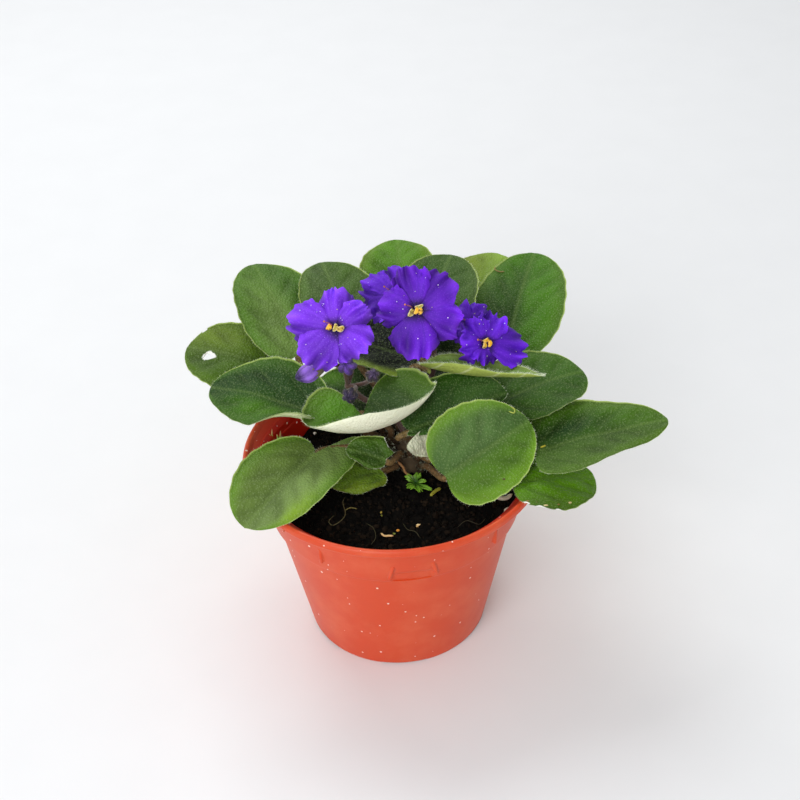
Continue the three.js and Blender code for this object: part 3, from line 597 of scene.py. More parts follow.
# Straws and roots on the soil: their points, the height above it, the radius and the colour.
STRAWS = [
    ([(-5.9, -38.9), (-4.4, -40.7), (-2.6, -41.6), (-0.8, -41.8)], 1.5, 0.42, "#f0d3a0"),
    ([(-20.6, -24.6), (-18.6, -23.6), (-16.9, -24.3), (-15.5, -24.9)], 1.4, 0.2, "#8d8448"),
    ([(-20.4, -16), (-21.4, -20), (-20.3, -27), (-22.6, -32), (-25.5, -34), (-27, -31.5), (-25, -27.5)],
     1.3, 0.2, "#6a6340"),
    ([(14.8, -19.4), (16.6, -17.2), (19.4, -14.4)], 2.0, 0.75, "#a8a83a"),
    ([(44.6, -28.2), (46.4, -26.4), (48.4, -25.6), (50, -23.6)], 1.2, 0.7, "#efe6d6"),
    ([(41, -18.6), (43.4, -20.4), (46.2, -20.2), (48.8, -18.2)], 2.2, 0.9, "#e9e4cf"),
    ([(3, -33), (5, -37), (8, -39), (10, -42)], 1.2, 0.14, "#4c4a2c"),
    ([(-12, -33), (-9, -36), (-8, -41), (-10, -45)], 1.2, 0.14, "#4c4a2c"),
    ([(25, -37), (29, -34), (34, -35), (37, -31)], 1.2, 0.14, "#43402a"),
]
# Grains of fertiliser: where each lies, its sizes and its colour.
GRAINS = [
    ((1.0, -38.2), (0.7, 0.6, 0.5), "#d9a23c"),
    ((9.4, -35.3), (0.9, 0.6, 0.5), "#f2dcae"),
    ((8.9, -36.2), (0.6, 0.5, 0.4), "#e8c98c"),
    ((-0.5, -40.2), (0.6, 0.5, 0.4), "#9aa850"),
    ((-5.7, -26.3), (0.5, 0.7, 0.4), "#b9a445"),
    ((-5.4, -28.4), (0.5, 0.5, 0.4), "#8e9442"),
    ((-34.7, 32.8), (0.9, 0.7, 0.7), "#f5f0ea"),
]
litter = [thread(on_soil(points, above), radius, tint) for points, above, radius, tint in STRAWS]
litter.append(thread([(1.6, -6, 86.5), (4, -6.6, 83.5), (4.9, -7, 81), (8.5, -8, 79)], 0.5, "#b48c5e"))
grain_spots, grain_sizes, grain_tints = zip(*GRAINS)
litter.append(lumps(on_soil(grain_spots, 1.2), np.array(grain_sizes), 13, litter=tints(*grain_tints)))

# Straw and dried root are dull, each in its own colour with darker fibres along it.
dry_litter, tree, straw = new_material("Dry straw and root", {"Roughness": 0.7})
own_colour = add_node(tree, "Attribute", {}, attribute_name="litter")
place = add_node(tree, "TexCoord", {}).outputs["Object"]
fibre = add_node(tree, "TexNoise", {"Vector": place, "Scale": 1 / (FIBRE_WIDTH * MM), "Detail": 2})
add_node(
    tree,
    "Mix",
    {0: fibre, 6: own_colour, 7: linear("#6b5a3a")},
    straw.inputs["Base Color"],
    data_type="RGBA",
    blend_type="SOFT_LIGHT",
)
add_piece("soil_litter", together(litter), dry_litter, [])

# The crown is the short corky stem of the plant. It stands in a hole in the soil, and every
# petiole and flower stalk grows out of it.
CROWN_RADIUS = 6.5
CROWN_TOP = 97
SCAR_SIZE = 2.63

crown_foot = SOIL_LEVEL - 9
crown_profile = softened(
    [
        [0.05, crown_foot],
        [CROWN_RADIUS - 2.5, crown_foot],
        [CROWN_RADIUS, crown_foot + 4],
        [CROWN_RADIUS, CROWN_TOP - 8],
        [CROWN_RADIUS - 2, CROWN_TOP - 2],
        [CROWN_RADIUS - 4.5, CROWN_TOP],
        [0.05, CROWN_TOP],
    ],
    2,
)
crown_rings = turned(stepped(crown_profile, 0.9), 64)
bark_relief = 0.3 * ripple(crown_rings * [1, 1, 2], 5, 21)
bark_relief += 0.15 * ripple(crown_rings * [2, 2, 1], 2.5, 22)
crown_rings[..., :2] *= 1 - (0.03 + 0.04 * np.abs(bark_relief))[..., None]
crown_rings += [CROWN_X, CROWN_Y, 0]

# Cork is dull and brown, with darker scars where old leaves grew.
cork, tree, bark = new_material("Corky crown bark", {"Roughness": 0.85})
place = add_node(tree, "TexCoord", {}).outputs["Object"]
scars = add_node(tree, "TexNoise", {"Vector": place, "Scale": 1 / (SCAR_SIZE * MM), "Detail": 5})
add_node(
    tree,
    "Mix",
    {0: scars, 6: linear("#1f1610"), 7: linear("#5a4a30")},
    bark.inputs["Base Color"],
    data_type="RGBA",
)
add_node(tree, "Bump", {"Height": scars, "Strength": 0.6, "Distance": 0.5 * MM}, bark.inputs["Normal"])
add_piece("crown_stem", loft(crown_rings), cork, ["crown"])

# The leaves are fleshy heart-shaped blades with a quilted face, sunken side veins and a pale
# felted underside, each on a thick hairy petiole that rises from the crown and runs on under
# the blade as its midrib. Each has its own green, from dark ones to yellowing ones, with painted
# light and shade mixed in: the darkest are painted shade deep in the rosette, the brightest at the
# back are painted light shining through, and the halves and soft patches of many carry painted
# light and shade.
BLADE_THICKNESS = 1.0
PETIOLE_RADIUS = 1.5
VEIN_SPACING = 13
VEIN_RAKE = 1.1
VEIN_CURVE = 0.004
LOBE_TURN = 0.45
BLADE_ROWS = 60
BLADE_COLUMNS = 46
PETIOLE_POINTS = 48
FACE_HAIR_WIDTH = 0.05
RIM_HAIR_WIDTH = 0.07
STEM_HAIR_WIDTH = 0.06
PEBBLE_SIZE = 0.952
CLOUD_SIZE = 8.33
WANDER_SIZE = 4
FLECK_SIZE = 1.11

# What a leaf has where its own entry says nothing: degrees for roll, arch, cups, curl and aside,
# shares of its length for lead and run, and factors for ribs and fuzz.
LEAF_COMMON = dict(roll=0, arch=25, cups=[5, 5], curl=0, blunt=0.9, lobe=0.1, aside=0, lead=0.12,
                   run=0.2, sag=0, worn=[], torn=[], bite_depth=30, fuzz=1, under="#c9d3a0", ribs=1,
                   pale=0)
LEAVES = [
    dict(name="far_left", root=79, joint=[-53, 40, 104], tip=[-89, 50, 109], left=21, right=20,
         roll=-6, arch=30, cups=[-10, 10], worn=[[-79, 43, 2.6], [-83, 61, 2.4]], face="#47631f",
         edge="#5c7a2a", patch="#6f8436", patch_at=[0.75, -0.5, 0.5]),
    dict(name="upper_left", root=84, joint=[-40, 42, 109], tip=[-61, 88, 127], left=19, right=21,
         roll=4, arch=30, face="#4b7024", right_half_painted_light="#43682a", edge="#5a8330", patch="#7c9668",
         patch_at=[0.25, 0.2, 0.5]),
    dict(name="left", root=88, joint=[-31, 7, 103], tip=[-76, 18, 110], left=21.8, right=24, roll=-2,
         arch=20, cups=[10, 15], curl=96, blunt=0.85, lobe=0.08, face="#214411", edge="#4a7226",
         patch="#4c7a08", patch_at=[0.45, 0.45, 0.35]),
    dict(name="front_cupped", root=92, joint=[-12, 0, 105.5], tip=[-9, -18, 121.5], left=35, right=27,
         roll=2, arch=-110, cups=[52, 30], blunt=1, lobe=1.1, lobe_right=1, fuzz=1.5, face="#3b5536",
         right_half_painted_light="#5f9034", edge="#5e8230", patch="#648068", patch_at=[0.45, 0.7, 0.4],
         under="#eef1d6", ribs=0.15),
    dict(name="back_left", root=89, joint=[-17, 43, 114], tip=[-30, 88, 127], left=17, right=22,
         roll=4, cups=[8, 5], face="#4f6648", edge="#5d7a44", patch="#4d6a33",
         patch_at=[0.9, -0.4, 0.4]),
    # The bright yellow-greens of back_top and far_back_right are painted light shining through them from
    # behind.
    dict(name="back_top", root=80, joint=[4, 76, 110], tip=[5, 116, 121], left=18, right=18, arch=30,
         face="#5f8a28", edge="#7b9a42", patch="#5f8f2a", patch_at=[0.6, 0.2, 0.5]),
    dict(name="back_right", root=86, joint=[13, 50, 112], tip=[29, 91, 127], left=20, right=20,
         cups=[5, 8], face="#466337", edge="#5a744c", patch="#3d5d26", patch_at=[0.6, 0.5, 0.5]),
    dict(name="far_back_right", root=81, joint=[34, 62, 102], tip=[50, 108, 117], left=20, right=20,
         face="#93b05c", edge="#93b060", patch="#8b9a50", patch_at=[0.7, 0.5, 0.4]),
    dict(name="upper_right", root=84, joint=[50, 44, 104], tip=[67, 97, 123], left=20, right=22,
         roll=-4, cups=[8, 8], face="#2f4b24", right_half_painted_light="#4a7a1a", edge="#5a8233", patch="#4a7a1a",
         patch_at=[0.95, 0.3, 0.4]),
    dict(name="right", root=88, joint=[44, 9, 104], tip=[82, 25, 107], left=21, right=19, roll=6,
         cups=[10, 10], face="#44692a", right_half_painted_light="#34571f", edge="#4f7434", patch="#385a20",
         patch_at=[0.3, -0.4, 0.5]),
    dict(name="right_edge_on", root=93, joint=[15, 18, 117.5], tip=[62, 2, 122.5], left=13, right=9,
         roll=-30, arch=-14, cups=[60, 50], blunt=0.75, aside=25, run=0.04, fuzz=3.2, face="#7f9c5e",
         edge="#a9bd86", patch="#6f8f3f", patch_at=[0.3, 0.3, 0.5], under="#a2b254", ribs=0.3),
    # The dark green of the leaf named shaded is painted shade.
    dict(name="shaded", root=90, joint=[7, -6, 102.5], tip=[48, 8, 110], left=18, right=6, roll=22,
         arch=12, cups=[8, 10], blunt=1, face="#2f4f26", edge="#3f6a22", patch="#4a6a46",
         patch_at=[0.75, 0.2, 0.3]),
    # The near-black face of centre_back is painted shade, and its bright margin is painted light.
    dict(name="centre_back", root=93, joint=[11, 31.3, 112.7], tip=[-21, 37.3, 119.3], left=18,
         right=26, roll=-15, arch=15, cups=[35, 5], aside=27, face="#0f1c12", edge="#c6e070",
         patch="#0c150f", patch_at=[0.5, 0.3, 0.5]),
    # inner_left and inner_right, deep in the rosette, are dark green as painted shade.
    dict(name="inner_left", root=92, joint=[-2, 17, 98], tip=[-36, 22, 102], left=8, right=22,
         roll=-5, arch=20, blunt=0.85, lobe=0.05, lobe_right=0.5, aside=6, face="#1f361a",
         edge="#3a5a22", patch="#5a8a28", patch_at=[0.8, -0.5, 0.25]),
    dict(name="inner_right", root=88, joint=[23, 27, 98], tip=[33, 58, 108], left=15, right=11,
         arch=20, cups=[10, 10], blunt=0.85, lobe=0.08, face="#1f331b", edge="#2f4a24",
         patch="#1a2b17", patch_at=[0.5, 0, 0.5]),
    dict(name="inner_front", root=87, joint=[16, -11, 92.5], tip=[11, -7, 102.5], left=10.5, right=9,
         arch=5, cups=[4, 4], blunt=1.7, lobe=0.03, aside=-16, face="#dfe2c8", edge="#f2f4e2",
         patch="#dfe2c8", patch_at=[0.5, 0, 0.5], under="#d9dcc0", ribs=0.3, pale=1),
    # The grey middle of front_round is a painted sheen of its hairs.
    dict(name="front_round", root=82, joint=[21, -25, 93], tip=[56, -8, 107], left=22, right=20,
         roll=35, arch=20, cups=[8, 14], blunt=0.85, lead=0.02, face="#43603f", right_half_painted_light="#54782a",
         edge="#82ad40", patch="#5f7d5c", patch_at=[0.4, 0.35, 0.4]),
    dict(name="long_right", root=84, joint=[57, -17, 98], tip=[113, -6, 104], left=23, right=19,
         roll=5, arch=14, cups=[4, 18], blunt=0.62, lobe=0.05, face="#4d7324", right_half_painted_light="#4a6632",
         edge="#5d7d34", patch="#143800", patch_at=[0.28, 0.3, 0.33]),
    dict(name="low_right", root=80, joint=[48, -27, 91], tip=[82, -21, 87], left=16, right=21, roll=2,
         arch=20, cups=[4, 8], lobe=0.08, torn=[0.2, 0.31, 0.44], face="#60900c", edge="#5f8a14",
         patch="#4a6c0a", patch_at=[0.3, -0.8, 0.35]),
    dict(name="front_left", root=85, joint=[-32, -13, 97.5], tip=[-59, -49, 90], left=17.5, right=19,
         roll=-12, arch=30, cups=[8, 12], blunt=1, lobe=0.8, lobe_right=0.2, sag=3, face="#7d9270",
         right_half_painted_light="#64784b", edge="#6c923c", patch="#8fac48", patch_at=[0.7, 0.8, 0.25]),
    dict(name="small_cut", root=88, joint=[-3, -15, 95], tip=[-19, -12, 99], left=6.5, right=9,
         roll=-20, arch=20, cups=[8, 8], blunt=0.8, lobe=0.05, lobe_right=0.3,
         worn=[[0.5, -6.5, 4.2]], bite_depth=1.5, face="#4d6d2e", edge="#5a7a34", patch="#3a5a22",
         patch_at=[0.4, 0, 0.5]),
    dict(name="small_low", root=81, joint=[-6, -9, 85], tip=[-26, -20, 86], left=11, right=10,
         roll=-8, arch=20, cups=[8, 8], blunt=0.85, lobe=0.08, face="#7a9a3e", edge="#8c9a3a",
         patch="#6f8230", patch_at=[0.7, 0.6, 0.4]),
]
LEAVES = [{**LEAF_COMMON, "right_half_painted_light": leaf["face"], **leaf} for leaf in LEAVES]


def leaf_shape(leaf):
    """The frame of a leaf: along its chord from joint to tip, across to its left, up from its
    face, and the length of the arc that bends over the chord."""
    start = np.array(leaf["joint"], float)
    chord = np.array(leaf["tip"], float) - start
    along = unit(chord)
    face = unit(np.array([0, 0, 1.0]) - along[2] * along)
    across = np.cross(face, along)
    roll, bend = math.radians(leaf["roll"]), math.radians(leaf["arch"])
    return dict(
        start=start,
        along=along,
        left=across * math.cos(roll) + face * math.sin(roll),
        normal=face * math.cos(roll) - across * math.sin(roll),
        bend=bend,
        length=np.linalg.norm(chord) * bend / 2 / math.sin(bend / 2),
    )


def bent_point(leaf, x, y, lift):
    """Points of a bent blade, and the directions out of its face. x runs along an arc whose
    slope falls from half the bend to minus half of it, and straight on behind the joint. y runs
    across on two arcs, one each side, that cup it upwards. lift is added along the face."""
    start, along, left, normal, bend, length = leaf_shape(leaf).values()
    behind = np.minimum(x, 0)
    slope = bend / 2 - bend * (x - behind) / length
    reach = length / bend * (math.sin(bend / 2) - np.sin(slope)) + behind * math.cos(bend / 2)
    rise = length / bend * (np.cos(slope) - math.cos(bend / 2)) + behind * math.sin(bend / 2)
    side = np.sign(y)
    half = np.where(side > 0, leaf["left"], leaf["right"])
    curl = np.where(side > 0, leaf["curl"] * np.maximum(0, 1 - x / (0.5 * length)), 0)
    cup = np.radians(np.where(side > 0, leaf["cups"][0], leaf["cups"][1]) + curl)
    cup = np.where(np.abs(cup) < 1e-3, 1e-3, cup)
    turn = cup * np.abs(y) / half
    far, high = half / cup * np.sin(turn), half / cup * (1 - np.cos(turn))
    face = normal * np.cos(slope)[..., None] - along * np.sin(slope)[..., None]
    out = face * np.cos(turn)[..., None] - left * (side * np.sin(turn))[..., None]
    at = start + along * reach[..., None] + normal * rise[..., None]
    at = at + left * (side * far)[..., None] + face * high[..., None] + out * np.asarray(lift)[..., None]
    return at, out


def vein_gap(x, y):
    """How far a place on a blade lies from the nearest side vein, measured along the midrib. The
    veins leave the midrib at even distances and sweep forward."""
    origin = x - VEIN_RAKE * np.abs(y) - VEIN_CURVE * y**2
    origin = origin + 1.6 * np.sin(0.22 * x + 0.17 * y)
    return np.abs((origin / VEIN_SPACING + 0.5) % 1 - 0.5) * VEIN_SPACING


def quilt(leaf, x, y, share, turn):
    """The relief of a blade's face: bell-shaped valleys along the side veins and a deeper one
    along the midrib, slow swells of about 20 mm, and a margin that rolls down a little."""
    length = leaf_shape(leaf)["length"]
    valley = bell(vein_gap(x, y), 2.8) * np.clip(share * 3, 0, 1)
    rib = np.exp(-np.abs(y / 2.6) ** 1.3) * np.clip(1.1 - 0.8 * x / length, 0.2, 1)
    rib = rib * np.clip(x / (0.15 * length), 0.15, 1)
    fade = np.sin(turn) ** 0.7 * np.clip((1 - share) * 2.2, 0, 1)
    shoulder = np.clip((share - 0.7) / 0.3, 0, 1) ** 2 * np.sin(turn)
    swell = ripple(np.stack([x, y, 0 * x], -1) + leaf["joint"], 21, 33)
    return fade * (0.5 * swell - 0.85 * valley * (1 - rib) - 1.5 * rib) - 1.3 * shoulder


def blade_place(leaf, u, v):
    """Flat places on a blade. The outline runs from the petiole round one side to the tip, in a
    heart shape whose lobes reach back; v crosses it from the left rim over the midrib."""
    turn = np.pi * u
    length = leaf_shape(leaf)["length"]
    side = np.where(v < 0.5, 1, -1)
    lobe = np.where(side > 0, leaf["lobe"], leaf.get("lobe_right", leaf["lobe"]))
    back = lobe * (turn / LOBE_TURN) * np.exp(1 - turn / LOBE_TURN)
    rim_x = length * ((1 - np.cos(turn)) / 2 - back * np.sin(turn / 2 + 0.5))
    rib_x = length * ((1 - np.cos(turn)) / 2) ** 1.25
    share = np.abs(2 * v - 1)
    rim_y = np.where(side > 0, leaf["left"], leaf["right"]) * np.sin(np.pi * u ** leaf["blunt"])
    crenate = 1 + 0.012 * np.sin(turn * 23 + leaf["joint"][1]) * np.sin(turn) * share**6
    x = rib_x + (rim_x - rib_x) * share
    share = share + 0 * x
    wave = 0.8 * share**2 * np.sin(turn) * np.sin(turn * 5 + side + leaf["joint"][0])
    return x, side * rim_y * share * crenate, share, turn, wave


def sheet(top, under, top_fields, under_fields):
    """A closed skin from two grids of points (rows, columns, 3) that meet all round their edge:
    the face, and the back, whose own edge points are left out for the face's."""
    rows, columns, _ = top.shape
    index = np.arange(rows * columns).reshape(rows, columns)
    back = index.copy()
    back[1:-1, 1:-1] = rows * columns + np.arange((rows - 2) * (columns - 2)).reshape(rows - 2, -1)
    face_quads = np.stack([index[:-1, :-1], index[:-1, 1:], index[1:, 1:], index[1:, :-1]], -1)
    back_quads = np.stack([back[:-1, :-1], back[1:, :-1], back[1:, 1:], back[:-1, 1:]], -1)

    def joined(front, rear):
        width = front.shape[-1]
        return np.concatenate([front.reshape(-1, width), rear[1:-1, 1:-1].reshape(-1, width)])

    carried = {}
    for name in top_fields:
        front = np.broadcast_to(top_fields[name], (rows, columns, np.shape(top_fields[name])[-1]))
        carried[name] = joined(front, np.broadcast_to(under_fields[name], front.shape))
    quads = np.concatenate([face_quads.reshape(-1, 4), back_quads.reshape(-1, 4)])
    skin = outward(joined(top, under), quads, np.zeros((0, 3), int))
    return {**skin, "fields": carried}


def blade_skin(leaf):
    """A blade from the joint to the tip. Its edge thins to a rounded rim, side veins are valleys
    on the face, and the midrib and side ribs stand out underneath."""
    u = np.linspace(0.003, 0.997, BLADE_ROWS + 1)[:, None]
    across = np.linspace(-1, 1, BLADE_COLUMNS + 1)
    v = (0.5 + 0.5 * np.sign(across) * np.abs(across) ** 0.8)[None, :]
    x, y, share, turn, wave = blade_place(leaf, u, v)
    half_thick = BLADE_THICKNESS / 2 * np.sqrt(np.clip(1 - share**8, 0, 1)) * np.sqrt(np.sin(turn))
    relief = quilt(leaf, x, y, share, turn)
    puckers = 0.1 * ripple(np.stack([x, y, 0 * x], -1), 3.2, 31) * np.clip((1 - share) * 4, 0, 1)
    length = leaf_shape(leaf)["length"]
    side_rib = 0.3 * bell(vein_gap(x, y), 1.2) * np.clip((1 - share) * 2, 0, 1)
    main_rib = 0.9 * bell(y, 1.5) * np.clip(1 - x / length, 0, 1)
    upper = half_thick + relief + puckers
    lower = (relief * 0.7 - (side_rib + main_rib) * np.sin(turn)) * leaf["ribs"] - half_thick
    rim = np.clip((1 - share) * 12, 0, 1)
    top, _ = bent_point(leaf, x, y, wave + upper * rim)
    bottom, _ = bent_point(leaf, x, y, wave + np.minimum(lower, upper - 0.1) * rim)
    bottom[[0, -1]] = top[[0, -1]]
    under_tint = tints(leaf["under"])[0]
    # The face's tint is darkened in the valleys of its relief as painted shade.
    shaded = leaf_tint(leaf, x, y, share, length) * (0.62 + 0.38 * np.clip(1.1 + relief, 0, 1))[..., None]
    shared = dict(blade=np.stack([x, y, share], -1), stem=nowhere)
    face = dict(shared, tint=under_tint if leaf["pale"] else shaded, over=nowhere + 1 - leaf["pale"])
    return sheet(top, bottom, face, dict(shared, tint=under_tint, over=nowhere))


def leaf_tint(leaf, x, y, share, length):
    """A leaf's green: the face colour, with its right half in a colour of its own, a fresher green
    towards the rim, and one soft patch given by its middle and size in shares of the blade. Light and
    shade are painted into these: a half lighter or darker than the other is painted light and shade,
    the greyer middle of some faces is a painted sheen, and the patch is a painted sheen or shadow on
    some leaves and a yellowed place on others. The skin under the silvery hairs is deeper and
    yellower than the whole, by the factors in bare."""
    face, other, edge, patch = tints(*[leaf[key] for key in ("face", "right_half_painted_light", "edge", "patch")])
    # The two halves of the face differ by painted light and shade, blended across the midrib.
    face = other + (face - other) * (0.5 + 0.5 * np.tanh(y / 2.5))[..., None]
    toward_rim = np.clip((share - 0.55) / 0.4, 0, 1)[..., None] ** 1.5
    px, py, size = leaf["patch_at"]
    half = np.where(y > 0, leaf["left"], leaf["right"])
    spread = np.exp(-(((x / length - px) / size) ** 2 + ((y / half - py) / size) ** 2))[..., None]
    bare = np.array([0.8, 0.88, 0.4, 1])
    return ((face * (1 - toward_rim) + edge * toward_rim) * (1 - spread) + patch * spread) * bare


def petiole_path(leaf):
    """The middle line of a petiole: out and up from the crown, then under the blade."""
    shape = leaf_shape(leaf)
    start, length = shape["start"], shape["length"]
    angle = math.atan2(start[1] - CROWN_Y, start[0] - CROWN_X) + math.radians(leaf["aside"])
    ring = np.array([math.cos(angle), math.sin(angle)])
    under = 0.15 - PETIOLE_RADIUS
    away = math.hypot(start[0] - CROWN_X, start[1] - CROWN_Y)
    xs = np.array([-leaf["lead"], 0.02, leaf["run"]]) * length
    lead, joint, end = bent_point(leaf, xs, np.zeros(3), under - np.array([0.4, 0.2, 1.4]))[0]
    root = leaf["root"]
    middle = root + (lead[2] - root) * 0.5 + leaf["sag"]
    rises = [(CROWN_RADIUS - 2, root - 1), (CROWN_RADIUS + 2, root + 1), (away * 0.45, middle)]
    points = [[CROWN_X + r * ring[0], CROWN_Y + r * ring[1], z] for r, z in rises]
    return smooth_path([*points, lead, joint, end], PETIOLE_POINTS)


def hairs(roots, ways, lengths, width):
    """Hairs as slim closed spikes of four faces: a triangle at each root, and a tip."""
    ways = unit(ways)
    helper = np.where(np.abs(ways[:, 2:]) < 0.9, [[0, 0, 1.0]], [[1.0, 0, 0]])
    one = unit(np.cross(ways, helper))
    two = np.cross(ways, one)
    turns = np.arange(3) * 2 * np.pi / 3
    spokes = np.cos(turns)[None, :, None] * one[:, None] + np.sin(turns)[None, :, None] * two[:, None]
    foot = roots[:, None] + spokes * width / 2 - ways[:, None] * 0.1
    points = np.concatenate([foot, (roots + ways * lengths[:, None])[:, None]], 1)
    pattern = np.array([[0, 1, 3], [1, 2, 3], [2, 0, 3], [0, 2, 1]])
    triangles = (np.arange(len(roots))[:, None, None] * 4 + pattern).reshape(-1, 3)
    quads = np.zeros((0, 4), int)
    return {"points": points.reshape(-1, 3), "quads": quads, "triangles": triangles, "fields": {}}


def face_hairs(leaf, seed):
    """Short hairs all over a blade's face, leaning towards its tip."""
    draw = np.random.default_rng(seed)
    shape = leaf_shape(leaf)
    area = 0.75 * shape["length"] * (leaf["left"] + leaf["right"])
    count = int(area * 0.9)
    turns = np.linspace(0, np.pi, 200)
    chance = np.cumsum(np.sin(turns) ** 2)
    u = np.interp(draw.uniform(0, chance[-1], count), chance, turns) / np.pi
    share = np.sqrt(draw.uniform(0, 1, count)) * 0.99
    on_left = draw.uniform(size=count) < leaf["left"] / (leaf["left"] + leaf["right"])
    x, y, share, turn, wave = blade_place(leaf, u, 0.5 - 0.5 * share * np.where(on_left, 1, -1))
    lift = wave + BLADE_THICKNESS / 2 * np.sqrt(1 - share**8) + quilt(leaf, x, y, share, turn)
    at, out = bent_point(leaf, x, y, lift)
    lean = shape["along"] * draw.uniform(0.1, 0.9, (count, 1)) + 0.35 * draw.normal(size=(count, 3))
    return hairs(at, out + lean, draw.uniform(0.25, 0.6, count), FACE_HAIR_WIDTH)


def rim_hairs(leaf, seed):
    """Longer hairs that stand out all round the margin."""
    draw = np.random.default_rng(seed)
    shape = leaf_shape(leaf)
    fuzz = leaf["fuzz"]
    count = int(4.5 * fuzz * (shape["length"] + leaf["left"] + leaf["right"]))
    u = draw.uniform(0.01, 0.99, count)
    v = np.where(draw.uniform(size=count) < 0.5, 0.0, 1.0)
    x, y, share, turn, wave = blade_place(leaf, u, v)
    at, out = bent_point(leaf, x, y, wave)
    nearer, _ = bent_point(leaf, x * 0.97 + 0.015 * shape["length"], y * 0.97, wave)
    ways = unit(at - nearer) + out * draw.uniform(-0.2, 0.9, (count, 1))
    ways += 0.25 * draw.normal(size=(count, 3))
    return hairs(at, ways, draw.uniform(0.4, 0.9, count) * fuzz**0.7, RIM_HAIR_WIDTH)


def stem_hairs(path, radius, per_mm, seed, length):
    """Hairs that stand off a stem on all sides, leaning a little towards its end."""
    draw = np.random.default_rng(seed)
    steps = np.linalg.norm(np.diff(path, axis=0), axis=1)
    count = int(steps.sum() * per_mm)
    t = draw.uniform(0, 1, count) * (len(path) - 1)
    i = np.minimum(t.astype(int), len(path) - 2)
    at = path[i] + (path[i + 1] - path[i]) * (t - i)[:, None]
    ahead = unit(path[i + 1] - path[i])
    spoke = draw.normal(size=(count, 3))
    spoke = unit(spoke - (spoke * ahead).sum(1)[:, None] * ahead)
    lengths = draw.uniform(0.5, 1, count) * length
    return hairs(at + spoke * radius * 0.9, spoke + 0.3 * ahead, lengths, STEM_HAIR_WIDTH)


# A fleshy leaf is matt with a faint sheen of hairs. Veins are paler than the skin between them, and
# the rim is a fresh green.
leaf_skin, tree, green = new_material(
    "Hairy leaf skin",
    {
        "Roughness": 0.5,
        "IOR": 1.42,
        "Specular IOR Level": 0.22,
        "Sheen Weight": 0.05,
        "Sheen Roughness": 0.45,
        "Sheen Tint": linear("#c3d6a4"),
    },
)
tint, blade, over, stem = [
    add_node(tree, "Attribute", {}, attribute_name=name).outputs[output]
    for name, output in (("tint", "Color"), ("blade", "Vector"), ("over", "Fac"), ("stem", "Fac"))
]
place = add_node(tree, "TexCoord", {}).outputs["Object"]
# The veins of the mesh again: the distance to the nearest side vein, from the place on the blade.
spot = add_node(tree, "SeparateXYZ", {"Vector": blade})
across = add_node(tree, "Math", {0: spot.outputs["Y"]}, operation="ABSOLUTE")
squared = add_node(tree, "Math", {0: across, 1: across}, operation="MULTIPLY")
wander = add_node(tree, "TexNoise", {"Vector": blade, "Scale": 1 / WANDER_SIZE, "Detail": 2})
origin = spot.outputs["X"]
for value, factor in ((across, -VEIN_RAKE), (squared, -VEIN_CURVE), (wander, 1.2)):
    origin = add_node(tree, "Math", {0: value, 1: factor, 2: origin}, operation="MULTIPLY_ADD")
veins = add_node(tree, "Math", {0: origin, 1: VEIN_SPACING / 2}, operation="PINGPONG")
side_vein, midrib = [
    add_node(
        tree,
        "MapRange",
        {"Value": gap, "From Min": start, "From Max": end, "To Min": 1, "To Max": 0},
        interpolation_type="SMOOTHSTEP",
    )
    for gap, start, end in ((veins, 0.15, 1.3), (across, 0.1, 1.5))
]
faint = add_node(tree, "Math", {0: side_vein, 1: 0.35}, operation="MULTIPLY")
network = add_node(tree, "Math", {0: faint, 1: midrib}, operation="MAXIMUM")
vein_share = add_node(tree, "Math", {0: network, 1: 0.13}, operation="MULTIPLY")
rim = add_node(
    tree,
    "MapRange",
    {"Value": spot.outputs["Z"], "From Min": 0.95, "From Max": 0.995, "To Max": 0.75},
    interpolation_type="SMOOTHSTEP",
)
# Each hair stands on a pebble of the skin about 1 mm across, and the pale dot on each pebble is
# the foot of its hair with a painted highlight.
pebble = add_node(tree, "TexVoronoi", {"Vector": place, "Scale": 1 / (PEBBLE_SIZE * MM)})
hair_foot_and_highlight = add_node(tree, "MapRange", {"Value": pebble, "From Min": 0.42, "From Max": 0.05, "To Max": 0.3})
shades = []
for size, detail, low, high in ((CLOUD_SIZE, 3, 0.92, 1.08), (FLECK_SIZE, 2, 0.6, 1.35)):
    noise = add_node(tree, "TexNoise", {"Vector": place, "Scale": 1 / (size * MM), "Detail": detail})
    span = {"Value": noise, "From Min": 0.3, "From Max": 0.7, "To Min": low, "To Max": high}
    factor = add_node(tree, "MapRange", span)
    shades.append(add_node(tree, "VectorMath", {0: tint, "Scale": factor}, operation="SCALE"))
colour, stem_green = shades
for share, pale in ((hair_foot_and_highlight, "#9fb47c"), (vein_share, "#8fae58"), (rim, "#b3ca6e")):
    colour = add_node(tree, "Mix", {0: share, 6: colour, 7: linear(pale)}, data_type="RGBA")
below = add_node(tree, "Mix", {0: faint, 6: tint, 7: linear("#e6e9c6")}, data_type="RGBA")
bladed = add_node(tree, "Mix", {0: over, 6: below, 7: colour}, data_type="RGBA")
add_node(tree, "Mix", {0: stem, 6: bladed, 7: stem_green}, green.inputs["Base Color"], data_type="RGBA")
add_node(
    tree,
    "Bump",
    {"Height": pebble, "Strength": 0.7, "Distance": 0.5 * MM},
    green.inputs["Normal"],
    invert=True,
)


def bitten(leaf):
    """The middles and radii of the bites in a leaf: its worn holes, and small ones at places on
    its right rim that its torn shares give."""
    rim_u = np.array(leaf["torn"])
    x, y, _, _, wave = blade_place(leaf, rim_u, np.ones(len(rim_u)))
    at, _ = bent_point(leaf, x * 1.02, y * 1.02, wave)
    return leaf["worn"] + [[*spot, 1.4 + 0.5 * (k % 2)] for k, spot in enumerate(at[:, :2].tolist())]


def bite_skin(leaf, x, y, radius):
    """A cutter for a bite: an upright column whose round outline has three soft corners."""
    heights = leaf["joint"][2] - leaf["bite_depth"], leaf["joint"][2] + 30
    column = turned(np.array([[radius, height] for height in heights]), 24)
    column[..., :2] *= (1 + 0.12 * np.sin(3 * np.arange(24) * np.pi / 12 + x))[None, :, None]
    return loft(column + [x, y, 0])


